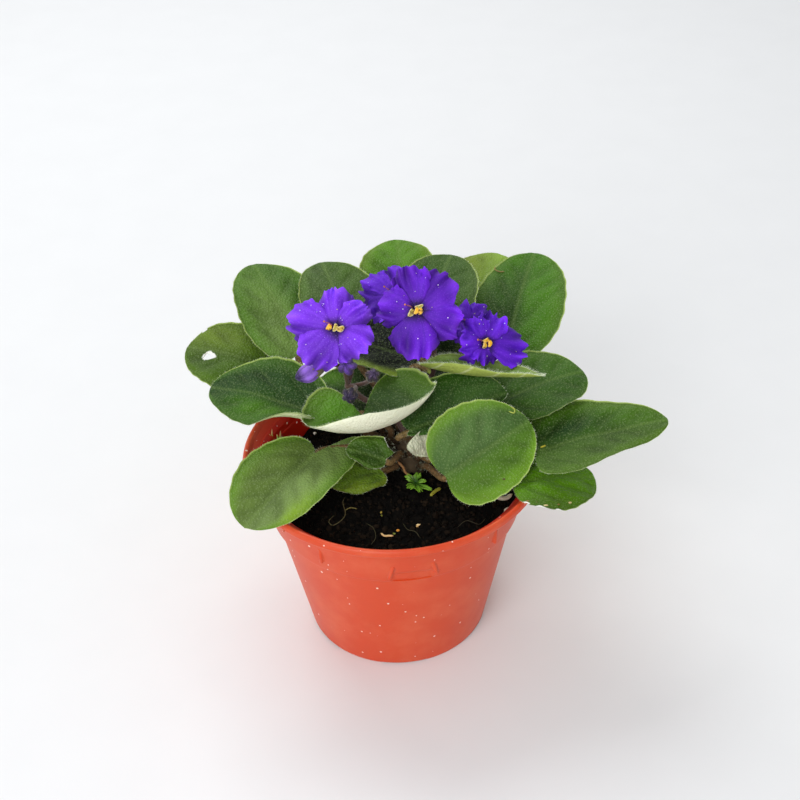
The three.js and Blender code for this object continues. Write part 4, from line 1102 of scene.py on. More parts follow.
hair_skins, rim_skins = [], []
along_stem = np.linspace(0, 1, PETIOLE_POINTS)
radii = np.interp(along_stem, [0, 0.2, 0.75, 0.9, 1], [1.75, PETIOLE_RADIUS, 1.35, 0.9, 0.4])
for number, leaf in enumerate(LEAVES):
    path = petiole_path(leaf)
    stem_tints = tints("#1c140d", "#3f2e1e", "#6b5236", "#7d6a40", leaf["under"])
    stem_tint = np.stack(
        [np.interp(along_stem, [0, 0.25, 0.5, 0.78, 0.88], channel) for channel in stem_tints.T], -1
    )
    fields = dict(blade=np.zeros((1, 1, 3)), tint=stem_tint[:, None], over=nowhere, stem=nowhere + 1)
    skin = together([blade_skin(leaf), loft(tube(path, radii, 14), **fields)])
    name = leaf["name"]
    piece = add_piece("hairy_leaf_" + name, skin, leaf_skin, ["leaf_" + name], crease=80)
    bites = [bite_skin(leaf, *bite) for bite in bitten(leaf)]
    if bites:
        carve(piece, bites)
    hair_skins.append(face_hairs(leaf, 100 + number))
    rim_skins.append(rim_hairs(leaf, 200 + number))
    rim_skins.append(stem_hairs(path[4:-8], 1.45, 5, 300 + number, 1.4))


def on_face(name, spots, lift):
    """Points on a leaf's face, given along its midrib and across it."""
    leaf = next(leaf for leaf in LEAVES if leaf["name"] == name)
    x, y = np.array(spots, float).T
    turn = np.arccos(np.clip(1 - 2 * x / leaf_shape(leaf)["length"], -0.98, 0.98))
    half = np.where(y > 0, leaf["left"], leaf["right"])
    share = np.clip(np.abs(y) / half, 0, 0.97)
    return bent_point(leaf, x, y, BLADE_THICKNESS / 2 + quilt(leaf, x, y, share, turn) + lift)[0]


# Old leaves are marked: a scratch, a scar, and spots of rust and dried sap. Each scratch has its
# leaf, its points, their height above the face, its radius and its colour.
SCRATCHES = [
    ("front_round", [(36.5, 8), (38, 6.2), (39, 7.4), (38.4, 9.2)], 0.1, 0.28, "#bcc86a"),
    ("upper_right", [(46, 15), (44.5, 14.7), (43.6, 12.5), (43.9, 10)], 0.1, 0.25, "#a08a58"),
    ("long_right", [(3.4, 1.1), (4.6, 1.2), (5.8, 1.4)], 0.2, 0.35, "#c0b83c"),
]
# Each group of spots has its leaf, their height above the face, a seed, and a place, sizes and a
# colour for each spot.
SPOTS = [
    ("front_round", 0.0, 15, [((18.6, -14.4), (0.7, 0.7, 0.4), "#5a4a1e")]),
    ("front_left", 0.1, 16, [((39, 14.5), (0.5, 0.5, 0.4), "#c4562a")]),
    ("low_right", 0.1, 17, [
        ((3, -13), (0.9, 0.5, 0.3), "#a88a5c"),
        ((6, -15), (0.5, 0.9, 0.3), "#7a5326"),
        ((9, -17.5), (1.1, 0.5, 0.3), "#d9cda0"),
        ((14, -18), (0.6, 0.4, 0.3), "#8f6b35"),
        ((19, -17), (0.9, 0.6, 0.3), "#c9bf8a"),
    ]),
]
marks = [
    thread(on_face(name, points, lift), radius, tint) for name, points, lift, radius, tint in SCRATCHES
]
for name, lift, seed, spots in SPOTS:
    places, sizes, codes = zip(*spots)
    marks.append(lumps(on_face(name, places, lift), np.array(sizes), seed, litter=tints(*codes)))
add_piece("leaf_marks", together(marks), dry_litter, [])

# A clear hair reads as a pale thread. The hairs are thicker than real ones, so that they show.
for name, code, piece_name, skins in (
    ("Green leaf down", "#8ea26c", "leaf_face_hairs", hair_skins),
    ("Clear leaf hair", "#dbe4c8", "leaf_margin_hairs", rim_skins),
):
    hair, _, _ = new_material(name, {"Base Color": linear(code), "Roughness": 0.5})
    add_piece(piece_name, together(skins), hair, [])

# Flower stalks grow from the crown between the leaves. Each forks once at a small swelling, and
# every branch ends in a green calyx of five sepals that holds a bloom or a bud. They are
# purplish brown and hairy.
PEDUNCLE_RADIUS = 1.4
PEDUNCLE_TIP_RADIUS = 1.15
PEDICEL_RADIUS = 0.85
TUBE_LENGTH = 5
SEPALS = 5
BLOTCH_SIZE = 2.0

BLOOMS = [
    dict(name="left", centre=[-21, 6, 146], turn=-6, tilt=38,
         petals=[[93, 15.5, 7], [37, 14.5, 6], [-40, 14.5, 9], [-127, 18.5, 9], [168, 19.5, 8.5]]),
    dict(name="middle", centre=[11, 8, 152], turn=0, tilt=36,
         petals=[[98, 18, 7.5], [43, 19, 8.5], [-22, 18.5, 8], [-96, 18.5, 9.5], [168, 14.5, 8]]),
    dict(name="right", centre=[39, 17, 129], turn=25, tilt=36,
         petals=[[105, 11.5, 6], [50, 13, 6.5], [-24, 18.5, 8.5], [-105, 8.5, 6.5], [175, 10.5, 7]]),
    dict(name="back_left", centre=[3, 32, 143], turn=-24, tilt=50,
         petals=[[132, 14, 7.5], [40, 10, 6], [-54, 12, 6], [-126, 13, 7], [168, 16, 7.5]]),
    dict(name="back_right", centre=[34, 31, 128.5], turn=20, tilt=55,
         petals=[[90, 10, 6], [18, 11, 6], [-54, 9, 5.5], [-126, 9, 5.5], [162, 10.5, 6]]),
]
BUDS = [
    dict(name="opening", centre=[-29, 5, 127], turn=-70, tilt=-10, length=10, radius=3.5),
    dict(name="violet", centre=[-17, 9, 125], turn=-10, tilt=40, length=9, radius=3.6),
    dict(name="hairy", centre=[-8, 5, 122], turn=20, tilt=50, length=6.5, radius=2.6),
    dict(name="dark", centre=[-16, 0, 118], turn=-15, tilt=20, length=7, radius=3),
]
STALKS = [
    dict(name="left", root=[5, 4, 94], route=[[0, 9, 101], [-12, 11, 107]], fork=[-18, 12, 113],
         blooms=["left"], buds=["opening", "violet", "hairy", "dark"]),
    dict(name="middle", root=[8, 5, 94], route=[[9, 12, 97], [18, 31, 106], [18, 31, 120]],
         fork=[13, 23, 133], blooms=["middle", "back_left"], buds=[]),
    dict(name="right", root=[12, 1, 94], route=[[19, 7, 96], [25, 20, 99], [28, 31, 106]],
         fork=[31, 31, 116], blooms=["right", "back_right"], buds=[]),
]


def facing(item):
    """The middle of a bloom or bud and the directions to its right, up and out, from a turn off
    the front and a tilt above level."""
    turn, tilt = math.radians(item["turn"]), math.radians(item["tilt"])
    out = np.array([math.sin(turn) * math.cos(tilt), -math.cos(turn) * math.cos(tilt), math.sin(tilt)])
    right = np.array([math.cos(turn), math.sin(turn), 0])
    return np.array(item["centre"], float), np.stack([right, np.cross(out, right), out])


def facing_points(item, points):
    """Points given to the right, up and out of a bloom or bud, in the plant's frame."""
    centre, basis = facing(item)
    return centre + points @ basis


def sepal(item, number, depth, reach, spread, splay):
    """A pointed sepal: a sheet that rises from the stalk, hugs what it holds, and leans out at
    its tip. Its half width follows a sine that peaks low down."""
    t = np.linspace(0.02, 1, 15)[:, None]
    side = np.linspace(-1, 1, 7)[None, :]
    half = 1.25 * np.sin(np.pi * t**0.75) ** 0.8 + 0.02
    radius = 0.7 + (spread - 0.7) * np.sin(np.clip(t * 2.2, 0, np.pi / 2)) + splay * t**3
    angle = 2 * np.pi * number / SEPALS + side * half / np.maximum(radius, 1.2)
    height = -depth - 2.8 + reach * t + 0 * side
    thick = 0.28 * np.sqrt(1 - side**4) * np.sqrt(np.sin(np.pi * np.clip(t, 0.02, 0.98)))
    layers = []
    for offset in (thick, -thick):
        far = radius + 0.25 * side**2 + offset
        sheet_points = np.stack([far * np.cos(angle), far * np.sin(angle), height], -1)
        layers.append(facing_points(item, sheet_points))
    top, under = layers
    under[[0, -1]] = top[[0, -1]]
    greenness = dict(green=(0.25 + 0.75 * t + 0 * side)[..., None])
    return sheet(top, under, greenness, greenness)


def pedicel(fork, item, seat_depth, spread, reach, splay):
    """The branch to a bloom or bud, its calyx, and the path that its hairs stand on."""
    centre, basis = facing(item)
    start, seat = np.array(fork, float), seat_depth + SEAT_GAP
    behind = [centre - basis[2] * (seat + depth) for depth in (9, 5, 1.5)]
    path = smooth_path([start, behind[0] * 0.7 + start * 0.3, behind[1], behind[2]], 30)
    branch = loft(tube(path, np.linspace(PEDICEL_RADIUS, PEDICEL_RADIUS + 0.15, 30), 10), green=nowhere)
    return [branch] + [sepal(item, n, seat, reach, spread, splay) for n in range(SEPALS)], path


# The skin of the stalks is dull and purplish brown, with blotches, and greener on the sepals.
stalk_skin, tree, stalk_shader = new_material(
    "Hairy flower stalk skin", {"Roughness": 0.6, "Sheen Weight": 0.3}
)
place = add_node(tree, "TexCoord", {}).outputs["Object"]
blotch = add_node(tree, "TexNoise", {"Vector": place, "Scale": 1 / (BLOTCH_SIZE * MM), "Detail": 4})
purple, calyx = [
    add_node(tree, "Mix", {0: blotch, 6: linear(dark), 7: linear(pale)}, data_type="RGBA")
    for dark, pale in (("#2c1a1f", "#6d4a3d"), ("#4a4426", "#93925a"))
]
green = add_node(tree, "Attribute", {}, attribute_name="green").outputs["Fac"]
add_node(tree, "Mix", {0: green, 6: purple, 7: calyx}, stalk_shader.inputs["Base Color"], data_type="RGBA")
relief = {"Height": blotch, "Strength": 0.4, "Distance": 0.2 * MM}
add_node(tree, "Bump", relief, stalk_shader.inputs["Normal"])

stalk_hairs = []
for number, stalk in enumerate(STALKS):
    path = smooth_path([stalk["root"], *stalk["route"], stalk["fork"]], 60)
    skins = [loft(tube(path, np.linspace(PEDUNCLE_RADIUS, PEDUNCLE_TIP_RADIUS, 60), 14), green=nowhere)]
    swelling = np.array([stalk["fork"]], float), np.array([[1.6, 1.6, 1.8]])
    skins.append(lumps(*swelling, 5, 0.05, green=nowhere[0]))
    stalk_hairs.append(stem_hairs(path[6:], PEDUNCLE_TIP_RADIUS + 0.05, 9, 400 + number, 1.7))
    # A calyx clasps a bloom's tube loosely, and a bud as high as the bud's own length asks.
    held = [(bloom, TUBE_LENGTH, 2.4, 6.5, 0.5) for bloom in BLOOMS if bloom["name"] in stalk["blooms"]]
    for bud in BUDS:
        if bud["name"] in stalk["buds"]:
            held.append((bud, 0, bud["radius"] * 0.78, 2.6 + bud["length"] * 0.62, -0.4))
    for item, *form in held:
        made, branch = pedicel(stalk["fork"], item, *form)
        skins.extend(made)
        stalk_hairs.append(stem_hairs(branch, PEDICEL_RADIUS, 9, 420 + len(stalk_hairs), 1.4))
    name = stalk["name"]
    add_piece("flower_stalk_" + name, together(skins), stalk_skin, ["stalk_" + name], crease=60)

# Each bloom is one corolla: a short tube that flares into five velvety violet petals with
# ruffled, crinkled edges. The throat is darkened as painted shade, and the edges are painted
# paler as light caught by the ruffles.
PETAL_CLAW = 1.6
PETAL_ROWS = 38
PETAL_COLUMNS = 66
PETAL_OVERLAP = 0.7
CELL_SIZE = 0.833
# Each bloom is a little lighter or deeper than the others: its share of red, green and blue.
BLOOM_TONES = {
    "left": [1.35, 1.2, 1.2],
    "middle": [0.82, 0.36, 0.85],
    "right": [0.85, 0.4, 1.0],
    "back_left": [0.85, 0.6, 0.9],
    "back_right": [0.8, 0.55, 0.85],
}


def petal_frill(angle, u, side):
    """How far a petal stands off its plane: a broad fold, waves that grow towards the edge, and
    fine crinkles at the edge itself."""
    edge = np.clip(np.maximum(u, np.abs(side) ** 3 * (0.2 + u)), 0, 1)
    uneven = ripple(np.stack([9 * u, 8 * side, angle + 0 * u], -1), 4.6, 71)
    wave = np.sin(7.5 * side + 1.6 * np.sin(3 * side + angle) + 1.5 * u + 3 * angle)
    crinkle = np.sin(17 * side + 2 * np.sin(6 * side + angle) + 4 * u)
    fold = np.sin(2.4 * side + 1.7 * angle)
    return edge**2.5 * (1.25 * wave + 1.1 * uneven) + 0.55 * edge**6 * crinkle + 1.8 * u * fold


def petal_points(petal, layer, u, side, offset):
    """Places on a petal, to the right, up and out of the bloom. It fans out from the throat to a
    round end of uneven lobes with narrow nicks between them, bows forward, and is frilled."""
    angle, length, half = petal
    lobes = np.abs(np.sin(4.2 * side + 1.5 * np.sin(2.5 * side + angle) + 2 * angle)) ** 0.8
    nicks = np.abs(np.sin(10 * side + 2 * np.sin(5 * side + angle))) ** 0.7
    round_end = 1 - 0.2 * side**2 * u - 0.17 * side**6 * u
    ragged = ripple(np.stack([0 * u, 9 * side, angle + 0 * u], -1), 3.4, 72)
    along = 1 + (length - 1) * u * round_end + u**6 * (1.5 * lobes + 0.7 * nicks + 0.7 * ragged - 1.1)
    aside = side * (PETAL_CLAW + (half * 1.04 - PETAL_CLAW) * np.sin(1.75 * u) ** 0.8)
    aside = aside + np.sign(side) * side**8 * u * (1.1 * np.abs(np.sin(7 * u + angle)) - 0.6)
    lift = 0.4 + 1.8 * u - 2.8 * u**2 + layer * (0.3 + 0.7 * u) + petal_frill(angle, u, side) + offset
    return np.stack([*rotated(along, aside, math.radians(angle)), lift], -1)


def petal_skin(bloom, petal, layer):
    """A petal as a thin sheet, thickest in its middle and closed all round its edge."""
    u = np.linspace(0, 1, PETAL_ROWS)[:, None] ** 0.85
    quarter = np.pi / 2 * 0.97
    side = np.sin(np.linspace(-1, 1, PETAL_COLUMNS) * quarter)[None, :] / math.sin(quarter)
    u, side = np.broadcast_arrays(u, side)
    thick = 0.3 * np.sqrt(np.clip(1 - side**8, 0, 1)) * np.sqrt(np.clip(1 - u**12, 0, 1)) * (u > 0)
    top, under = [facing_points(bloom, petal_points(petal, layer, u, side, k * thick)) for k in (1, -1)]
    place = np.stack([u, side * petal[2], np.full(u.shape, petal[0] % 7.0)], -1)
    ridge = petal_frill(petal[0], u, side)[..., None]
    fields = dict(petal=place, tone=bloom_tone(bloom))
    return sheet(top, under, dict(fields, ridge=ridge), dict(fields, ridge=-ridge))


def petal_layers(bloom):
    """The petals of a bloom, every other one laid a little over its neighbours."""
    return [(petal, PETAL_OVERLAP * (number % 2)) for number, petal in enumerate(bloom["petals"])]


def bloom_tone(bloom):
    """A bloom's tone as a field that is the same all over a skin."""
    return np.array(BLOOM_TONES[bloom["name"]])[None, None]


# Petal cells are small lenses, so a petal is deep violet with a velvety sheen, and the fine
# glints of its cells are painted highlights. The cells are drawn coarser than real ones, so that
# they show.
velvet, tree, violet = new_material(
    "Velvety violet petal",
    {
        "Roughness": 0.62,
        "Specular IOR Level": 0.25,
        "Sheen Weight": 0.12,
        "Sheen Roughness": 0.4,
        "Sheen Tint": linear("#b48cff"),
    },
)
petal_at, tone, ridge = [
    add_node(tree, "Attribute", {}, attribute_name=name).outputs[output]
    for name, output in (("petal", "Vector"), ("tone", "Vector"), ("ridge", "Fac"))
]
place = add_node(tree, "TexCoord", {}).outputs["Object"]
outwards = add_node(tree, "SeparateXYZ", {"Vector": petal_at}).outputs["X"]
toward_edge, from_throat = [
    add_node(
        tree,
        "MapRange",
        {"Value": outwards, "From Min": start, "From Max": end},
        interpolation_type="SMOOTHSTEP",
    )
    for start, end in ((0.72, 1.0), (0.03, 0.3))
]
stretched = add_node(tree, "Mapping", {"Vector": petal_at, "Scale": (1.5, 0.6, 1.0)})
rays = add_node(tree, "TexNoise", {"Vector": stretched, "Scale": 1.0, "Detail": 4})
rayed = add_node(tree, "MapRange", {"Value": rays, "From Min": 0.35, "From Max": 0.7})
cells = add_node(tree, "TexVoronoi", {"Vector": place, "Scale": 1 / (CELL_SIZE * MM)})
painted_glint = add_node(
    tree, "MapRange", {"Value": cells, "From Min": 0.0, "From Max": 0.4, "To Min": 0.45, "To Max": 0}
)
# The throat's dark violet is painted shade, the paler edges are painted light, and the glints on the cells
# are painted highlights.
painted_edge_light = add_node(tree, "Math", {0: toward_edge, 1: 0.5}, operation="MULTIPLY")
colour = add_node(tree, "Mix", {0: rayed, 6: linear("#5a20bd"), 7: linear("#6d34d2")}, data_type="RGBA")
colour = add_node(tree, "Mix", {0: from_throat, 6: linear("#1e0646"), 7: colour}, data_type="RGBA")
for share, tint in ((painted_edge_light, "#7f4be6"), (painted_glint, "#8f63ee")):
    colour = add_node(tree, "Mix", {0: share, 6: colour, 7: linear(tint)}, data_type="RGBA")
toned = add_node(tree, "VectorMath", {0: colour, 1: tone}, operation="MULTIPLY")
# The hollows of the frills are darkened as painted shade, and their crests lightened as painted light.
crest = add_node(
    tree, "MapRange", {"Value": ridge, "From Min": -2.2, "From Max": 2.2, "To Min": 0.42, "To Max": 1.38}
)
add_node(tree, "VectorMath", {0: toned, "Scale": crest}, violet.inputs["Base Color"], operation="SCALE")
add_node(tree, "Bump", {"Height": cells, "Strength": 0.35, "Distance": 0.2 * MM}, violet.inputs["Normal"])

throat_foot = [[0.05, -TUBE_LENGTH], [1.5, -TUBE_LENGTH]]
throat_profile = softened(throat_foot + [[2.1, -1], [2.9, 0.9], [2.2, 0.7], [0.05, -0.6]], 0.4)
for bloom in BLOOMS:
    name = bloom["name"]
    throat = facing_points(bloom, turned(stepped(throat_profile, 0.5), 40))
    skins = [loft(throat, petal=np.zeros((1, 1, 3)), tone=bloom_tone(bloom), ridge=nowhere)]
    skins.extend(petal_skin(bloom, petal, layer) for petal, layer in petal_layers(bloom))
    add_piece("violet_corolla_" + name, together(skins), velvet, ["bloom_" + name], crease=70)

# The anthers are plump yellow sacs of pollen, joined in the throat of each bloom with a cream
# seam along each, beside a thin purple style. Some of their pollen has fallen on the petals.
POWDER_SIZE = 0.625
OPENING_SIZE = 1.11
# Each lobe has its place to the right, up and out, its turn, length and width, and its share of
# gold, from olive when young to gold when ripe.
ANTHERS = {
    "left": [
        [-2.8, 0.3, 2.2, 60, 1.4, 1.1, 1.0], [-0.2, 0.1, 2.6, 75, 1.7, 1.0, 0.1],
        [1.9, -0.2, 2.5, 20, 1.7, 1.2, 0.3],
    ],
    "middle": [
        [-2.1, -0.9, 2.4, 60, 1.8, 1.1, 0.1], [0.0, -0.2, 3.0, 70, 1.5, 0.9, 1.0],
        [1.6, -0.4, 2.9, 80, 1.5, 0.9, 0.9], [1.2, 1.5, 2.7, 15, 1.8, 0.8, 0.0],
    ],
    "right": [
        [-1.3, -0.8, 2.4, 60, 1.4, 0.9, 0.6], [0.0, 1.2, 2.5, 10, 1.5, 0.8, 0.7],
        [1.1, -0.6, 2.7, 70, 1.6, 0.9, 1.0],
    ],
    "back_left": [[-1.1, -0.3, 2.4, 30, 1.5, 0.9, 0.6], [1.1, 0.3, 2.5, 30, 1.5, 0.9, 0.5]],
    "back_right": [[-1.1, -0.3, 2.4, 30, 1.5, 0.9, 0.6], [1.1, 0.3, 2.5, 30, 1.5, 0.9, 0.5]],
}


def anther_lobe(bloom, lobe):
    """A bean-shaped sac: an ellipsoid with a groove pressed along its top."""
    x, y, z, spin, long, wide, gold = lobe
    t = np.linspace(0.04, np.pi - 0.04, 18)[:, None]
    angle = np.arange(24)[None, :] * 2 * np.pi / 24
    groove = 1 - 0.22 * np.exp(-((np.abs(angle - np.pi / 2) / 0.4) ** 2)) * np.sin(t)
    round_part = wide * np.sin(t) * groove
    across = round_part * np.cos(angle) + 0.25 * np.cos(2 * t)
    placed = rotated(long * np.cos(t) + 0 * angle, across, math.radians(spin))
    rise = 0.9 * round_part * np.sin(angle)
    points = facing_points(bloom, np.stack([x + placed[0], y + placed[1], z + rise], -1))
    seam = np.exp(-((np.abs(angle - np.pi / 2) / 0.8) ** 4)) * np.sin(t) ** 0.7
    cream, yellow, olive = tints("#fff4d2", "#f2b400", "#8e9216")
    own = olive * (1 - gold) + yellow * gold
    tint = own + (cream - own) * ((0.85 - 0.55 * gold) * (1 - seam))[..., None]
    return loft(points, pollen=tint)


# Pollen sacs are waxy and a little translucent, dusted with powder, with brown flecks where they
# have opened.
pollen, tree, wax = new_material(
    "Waxy pollen sac", {"Roughness": 0.45, "Subsurface Weight": 0.15, "Subsurface Scale": 1 * MM}
)
own_colour = add_node(tree, "Attribute", {}, attribute_name="pollen")
place = add_node(tree, "TexCoord", {}).outputs["Object"]
powder = add_node(tree, "TexNoise", {"Vector": place, "Scale": 1 / (POWDER_SIZE * MM), "Detail": 3})
powdered = add_node(
    tree,
    "Mix",
    {0: powder, 6: own_colour, 7: linear("#d8b24a")},
    data_type="RGBA",
    blend_type="SOFT_LIGHT",
)
openings = add_node(tree, "TexNoise", {"Vector": place, "Scale": 1 / (OPENING_SIZE * MM), "Detail": 1})
opened = add_node(tree, "MapRange", {"Value": openings, "From Min": 0.56, "From Max": 0.64, "To Max": 0.8})
browned = {0: opened, 6: powdered, 7: linear("#5a3512")}
add_node(tree, "Mix", browned, wax.inputs["Base Color"], data_type="RGBA")
add_node(tree, "Bump", {"Height": powder, "Strength": 0.3, "Distance": 0.2 * MM}, wax.inputs["Normal"])

pollen_draw = np.random.default_rng(61)
for bloom in BLOOMS:
    name = bloom["name"]
    skins = [anther_lobe(bloom, lobe) for lobe in ANTHERS[name]]
    style = facing_points(bloom, smooth_path([[-1.2, 0.8, 0.5], [-2.2, 1.6, 3], [-4.2, 2.2, 4.6]], 16))
    skins.append(loft(tube(style, tapered(16, 0.3, 0.25), 8), pollen=tints("#8a4a8c")[None]))
    stigma = facing_points(bloom, np.array([[-4.4, 2.3, 4.8]]))
    skins.append(lumps(stigma, np.array([[0.45, 0.45, 0.45]]), 62, 0.1, pollen=tints("#d8863c")))
    # A bloom at the back shows too little to carry more than a few grains.
    grains = 2 if name.startswith("back") else 4
    spots, sizes = [], []
    for petal, layer in petal_layers(bloom):
        u = pollen_draw.uniform(0.2, 0.85, grains)
        side = pollen_draw.uniform(-0.8, 0.8, grains)
        spots.append(facing_points(bloom, petal_points(petal, layer, u, side, np.full(grains, 0.42))))
        sizes.append(np.minimum(pollen_draw.gamma(2, 0.06, (grains, 1)), 0.22) * [1, 1, 0.8] + 0.07)
    whites = np.tile(linear("#f6e9ff"), (sum(map(len, spots)), 1))
    whites[::5] = linear("#d9c27a")
    skins.append(lumps(np.concatenate(spots), np.concatenate(sizes), 63, 0.15, pollen=whites))
    add_piece("anthers_and_pollen_" + name, together(skins), pollen, ["anthers_" + name])

# Buds are corollas still folded in a spiral, one of them nearly open and pale outside, the
# others short, dark and hairy, each held by the sepals of its stalk.
BUD_DOWN_SIZE = 0.714
BUD_TINTS = {
    "opening": ("#8f5fd6", "#2e0f5e"),
    "violet": ("#45246f", "#6a3fae"),
    "hairy": ("#2a1f26", "#3b2850"),
    "dark": ("#150d1c", "#2a1b42"),
}
# The girth of a bud: places along it, and the radius there as a share of the widest.
BUD_GIRTH = np.array(
    [[0, 0.02], [0.03, 0.35], [0.12, 0.68], [0.4, 1], [0.6, 0.95], [0.78, 0.74], [0.93, 0.4], [1, 0.04]]
)


def bud_skin(bud):
    """An egg of folded petals: a radius that swells and closes along the bud, with ridges that
    turn round it and a crinkled tip."""
    t = np.linspace(0, 1, 40)[:, None]
    angle = np.arange(60)[None, :] * 2 * np.pi / 60
    girth = smooth_path(np.concatenate([BUD_GIRTH, BUD_GIRTH[:, :1] * 0], 1), 200)
    swell = np.interp(t, girth[:, 0], girth[:, 1])
    fold = 0.17 * np.sin(5 * angle + 3 * t) + 0.05 * np.sin(10 * angle + 9 * t) * t
    tip = 0.1 * np.sin(13 * angle) * np.clip((t - 0.7) * 4, 0, 1)
    radius = bud["radius"] * swell * (1 + fold + tip)
    height = bud["length"] * (t + 0.05 * np.sin(7 * angle) * np.clip((t - 0.75) * 4, 0, 1))
    points = facing_points(bud, np.stack([radius * np.cos(angle), radius * np.sin(angle), height], -1))
    side, tip_tint = tints(*BUD_TINTS[bud["name"]])
    share = np.clip((t - 0.62) / 0.25, 0, 1)[..., None]
    # The folds are darkened as painted shade.
    crease = np.clip(0.5 - 4 * fold, 0, 1)[..., None] * 0.35
    tint = (side * (1 - share) + tip_tint * share) * (1 - crease)
    tint[..., 3] = 1
    return loft(points, bud=tint), points


# Folded petals are dull and a little downy; each bud's own colour carries painted shade in its folds.
folded, tree, folded_shader = new_material("Folded petal skin", {"Roughness": 0.6, "Sheen Weight": 0.1})
own_colour = add_node(tree, "Attribute", {}, attribute_name="bud")
place = add_node(tree, "TexCoord", {}).outputs["Object"]
down = add_node(tree, "TexNoise", {"Vector": place, "Scale": 1 / (BUD_DOWN_SIZE * MM), "Detail": 3})
downy = add_node(tree, "MapRange", {"Value": down, "From Min": 0.45, "From Max": 0.8, "To Max": 0.15})
colours = {0: downy, 6: own_colour, 7: linear("#c3b2d8")}
add_node(tree, "Mix", colours, folded_shader.inputs["Base Color"], data_type="RGBA")
relief = {"Height": down, "Strength": 0.3, "Distance": 0.2 * MM}
add_node(tree, "Bump", relief, folded_shader.inputs["Normal"])

for number, bud in enumerate(BUDS):
    skin, surface = bud_skin(bud)
    add_piece("folded_bud_" + bud["name"], skin, folded, ["bud_" + bud["name"]], crease=70)
    bud_draw = np.random.default_rng(500 + number)
    count = 30 if bud["name"] in ("opening", "violet") else 110
    row, column = bud_draw.integers(3, 36, count), bud_draw.integers(0, 60, count)
    roots = surface[row, column]
    ways = unit(roots - surface[row].mean(1)) + 0.3 * bud_draw.normal(size=(count, 3))
    stalk_hairs.append(hairs(roots, ways, bud_draw.uniform(0.5, 1.3, count), STEM_HAIR_WIDTH))
stalk_hair, _, _ = new_material("Reddish stalk hair", {"Base Color": linear("#a58d84"), "Roughness": 0.5})
add_piece("flower_stalk_hairs", together(stalk_hairs), stalk_hair, [])

# A self-sown fern has come up in front of the crown: bright green frilled fronds on one short
# stem. Two dried seedlings stand against the wall of the pot on the left.
SEEDLING_X = 9
SEEDLING_Y = -12
SEEDLING_RADIUS = 0.8
SPROUT_RADIUS = 0.6
# Each frond has its turn, its reach and its rise.
FRONDS = [[-25, 4, 2.5], [70, 3, 3], [165, 4, 3], [-125, 5.5, 1.5], [-75, 6, 0.6], [-42, 8, 1]]
SPROUTS = [
    [[-50.6, 20, 64.5], [-51.2, 20, 74.5], [-52.4, 20, 80.5], [-52.2, 20.4, 85.1]],
    [[-51.4, 20, 76.5], [-52.6, 19.6, 80.5], [-53.6, 19.4, 83.1]],
    [[-48.4, 22, 64.5], [-48.8, 21.6, 73.5], [-49, 21, 79.5], [-48.6, 20.6, 83.9]],
    [[-48.9, 21.2, 76.5], [-50, 20.8, 79.9], [-50.4, 20.6, 81.9]],
    [[-51.2, 20.4, 72.5], [-53.2, 20.4, 75.5], [-54, 20, 78.1]],
    [[-48.6, 21.8, 72.5], [-46.8, 21.6, 75.9], [-46.2, 21.4, 78.7]],
]
soil_at_seedling = float(soil_height(SEEDLING_X, SEEDLING_Y))


def frond_skin(frond):
    """A frond: a sheet that rises and droops outwards, with rounded teeth on its far edge."""
    angle, reach, rise = frond
    u = np.linspace(0.02, 1, 22)[:, None]
    side = np.linspace(-1, 1, 29)[None, :]
    u, side = np.broadcast_arrays(u, side)
    spread = side * (0.4 + 1.3 * np.sin(2.4 * u) ** 2) * (1 + 0.12 * np.sin(14 * u) * np.abs(side))
    far = reach * u + 0.6 * u * np.cos(12 * side) + 0.35 * u**3 * np.cos(29 * side)
    height = rise * np.sin(1.6 * u) + 0.5 * u * np.sin(5 * side) + 0.15 * u * np.sin(12 * side)
    flat = rotated(far, spread, math.radians(angle))
    thick = 0.22 * np.sqrt(np.clip(1 - side**6, 0, 1) * np.clip(1 - u**10, 0, 1))
    foot = [SEEDLING_X, SEEDLING_Y, soil_at_seedling + 1.6]
    top, under = [np.stack([*flat, height + k * thick], -1) + foot for k in (1, -1)]
    under[[0, -1]] = top[[0, -1]]
    return sheet(top, under, dict(frond=u[..., None]), dict(frond=u[..., None]))


def sprout(points, radius):
    """A thin dried shoot through points, green at its foot and tan at its tip."""
    rings = tube(smooth_path(points, 20), tapered(20, radius, radius * 0.5), 8)
    return loft(rings, frond=np.linspace(0.2, 1.6, 20)[:, None, None])


stem_path = np.linspace(soil_at_seedling - 3, soil_at_seedling + 2.2, 8)[:, None] * [0, 0, 1]
seedling_skins = [frond_skin(frond) for frond in FRONDS]
stem_rings = tube(stem_path + [SEEDLING_X, SEEDLING_Y, 0], SEEDLING_RADIUS, 12)
seedling_skins.append(loft(stem_rings, frond=nowhere))
seedling_skins.extend(sprout(route, SPROUT_RADIUS) for route in SPROUTS)

# A young frond is fresh green and darker at its foot. A dried one is tan.
fern, tree, frond_shader = new_material("Young fern frond", {"Roughness": 0.5})
along = add_node(tree, "Attribute", {}, attribute_name="frond").outputs["Fac"]
young = add_node(tree, "MapRange", {"Value": along, "From Min": 0.1, "From Max": 0.9})
dried = add_node(tree, "MapRange", {"Value": along, "From Min": 1.05, "From Max": 1.5})
colour = linear("#1f4a0c")
for share, tint in ((young, "#7cae2e"), (dried, "#d9a878")):
    colour = add_node(tree, "Mix", {0: share, 6: colour, 7: linear(tint)}, data_type="RGBA")
tree.links.new(colour.outputs[2], frond_shader.inputs["Base Color"])
add_piece("fern_fronds", together(seedling_skins), fern, ["fern_seedling"], crease=70)

# The plant stands on a plain pale floor in soft light: a bright even surround, and two large
# lamps above, the stronger one to the left.
FLOOR_REACH = 30000
PULP_SIZE = 33.3

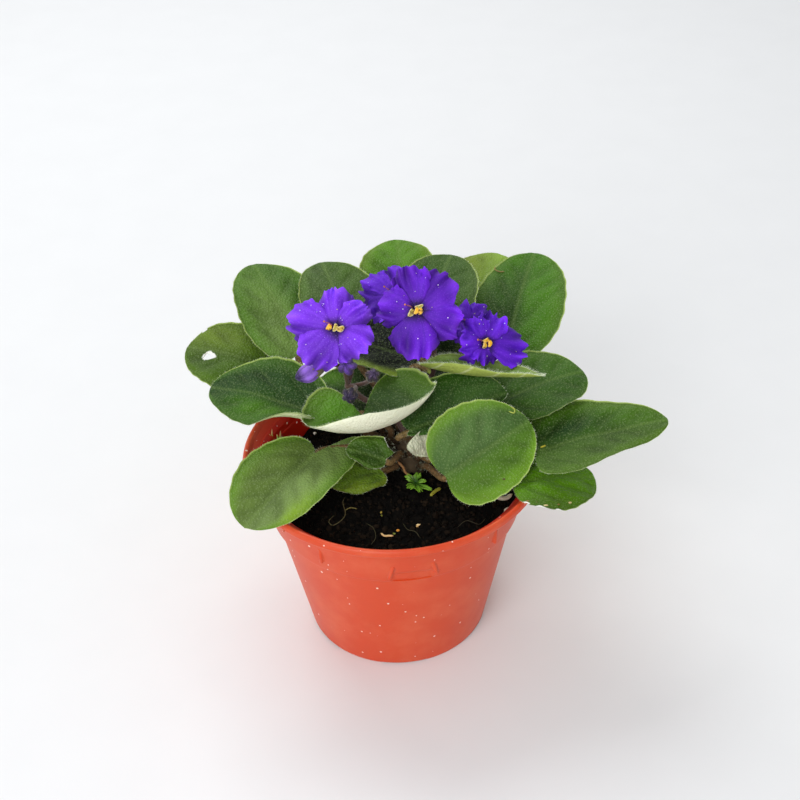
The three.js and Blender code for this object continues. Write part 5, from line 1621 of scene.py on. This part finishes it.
# Matt paper is a nearly even pale grey.
paper, tree, paper_shader = new_material("Matt white paper", {"Roughness": 0.9})
place = add_node(tree, "TexCoord", {}).outputs["Object"]
pulp = add_node(tree, "TexNoise", {"Vector": place, "Scale": 1 / (PULP_SIZE * MM), "Detail": 3})
greys = {0: pulp, 6: linear("#e6e8ea"), 7: linear("#eaecee")}
add_node(tree, "Mix", greys, paper_shader.inputs["Base Color"], data_type="RGBA")
corners = np.array([[-1, -1, 0], [1, -1, 0], [1, 1, 0], [-1, 1, 0]]) * FLOOR_REACH
floor_skin = {"points": corners, "quads": np.array([[0, 1, 2, 3]]), "triangles": np.zeros((0, 3), int)}
add_mesh("studio_floor", floor_skin, paper)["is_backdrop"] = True


def add_lamp(name, where, size, power):
    """A square lamp of a size and power, aimed at the middle of the plant."""
    light = bpy.data.lights.new(name, "AREA")
    light.size = size
    light.energy = power
    lamp = bpy.data.objects.new(name, light)
    lamp.location = where
    aim = Vector((0, 0, 0.1)) - Vector(where)
    lamp.rotation_mode = "QUATERNION"
    lamp.rotation_quaternion = aim.to_track_quat("-Z", "Y")
    bpy.context.scene.collection.objects.link(lamp)


add_lamp("key_lamp", (-0.35, 0.75, 1.15), 0.8, 9)
add_lamp("fill_lamp", (-0.4, -1.0, 0.8), 0.8, 10)
surround = bpy.data.worlds.new("soft_surround")
surround.use_nodes = True
tree = surround.node_tree
background = tree.nodes["Background"].inputs
background["Color"].default_value = (1, 1, 1, 1)
sky = add_node(tree, "TexCoord", {}).outputs["Generated"]
rise = add_node(tree, "SeparateXYZ", {"Vector": sky}).outputs["Z"]
# The surround is brighter near the horizon than overhead.
dimmed = {"Value": rise, "From Min": 0.1, "From Max": 0.3, "To Min": 0.9, "To Max": 0.5}
add_node(tree, "MapRange", dimmed, background["Strength"])
bpy.context.scene.world = surround
bpy.context.scene.view_settings.view_transform = "Standard"

shown_low, shown_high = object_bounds()
sizes = {"cad": [list(cad_low), list(cad_high)], "visual": [list(shown_low), list(shown_high)]}
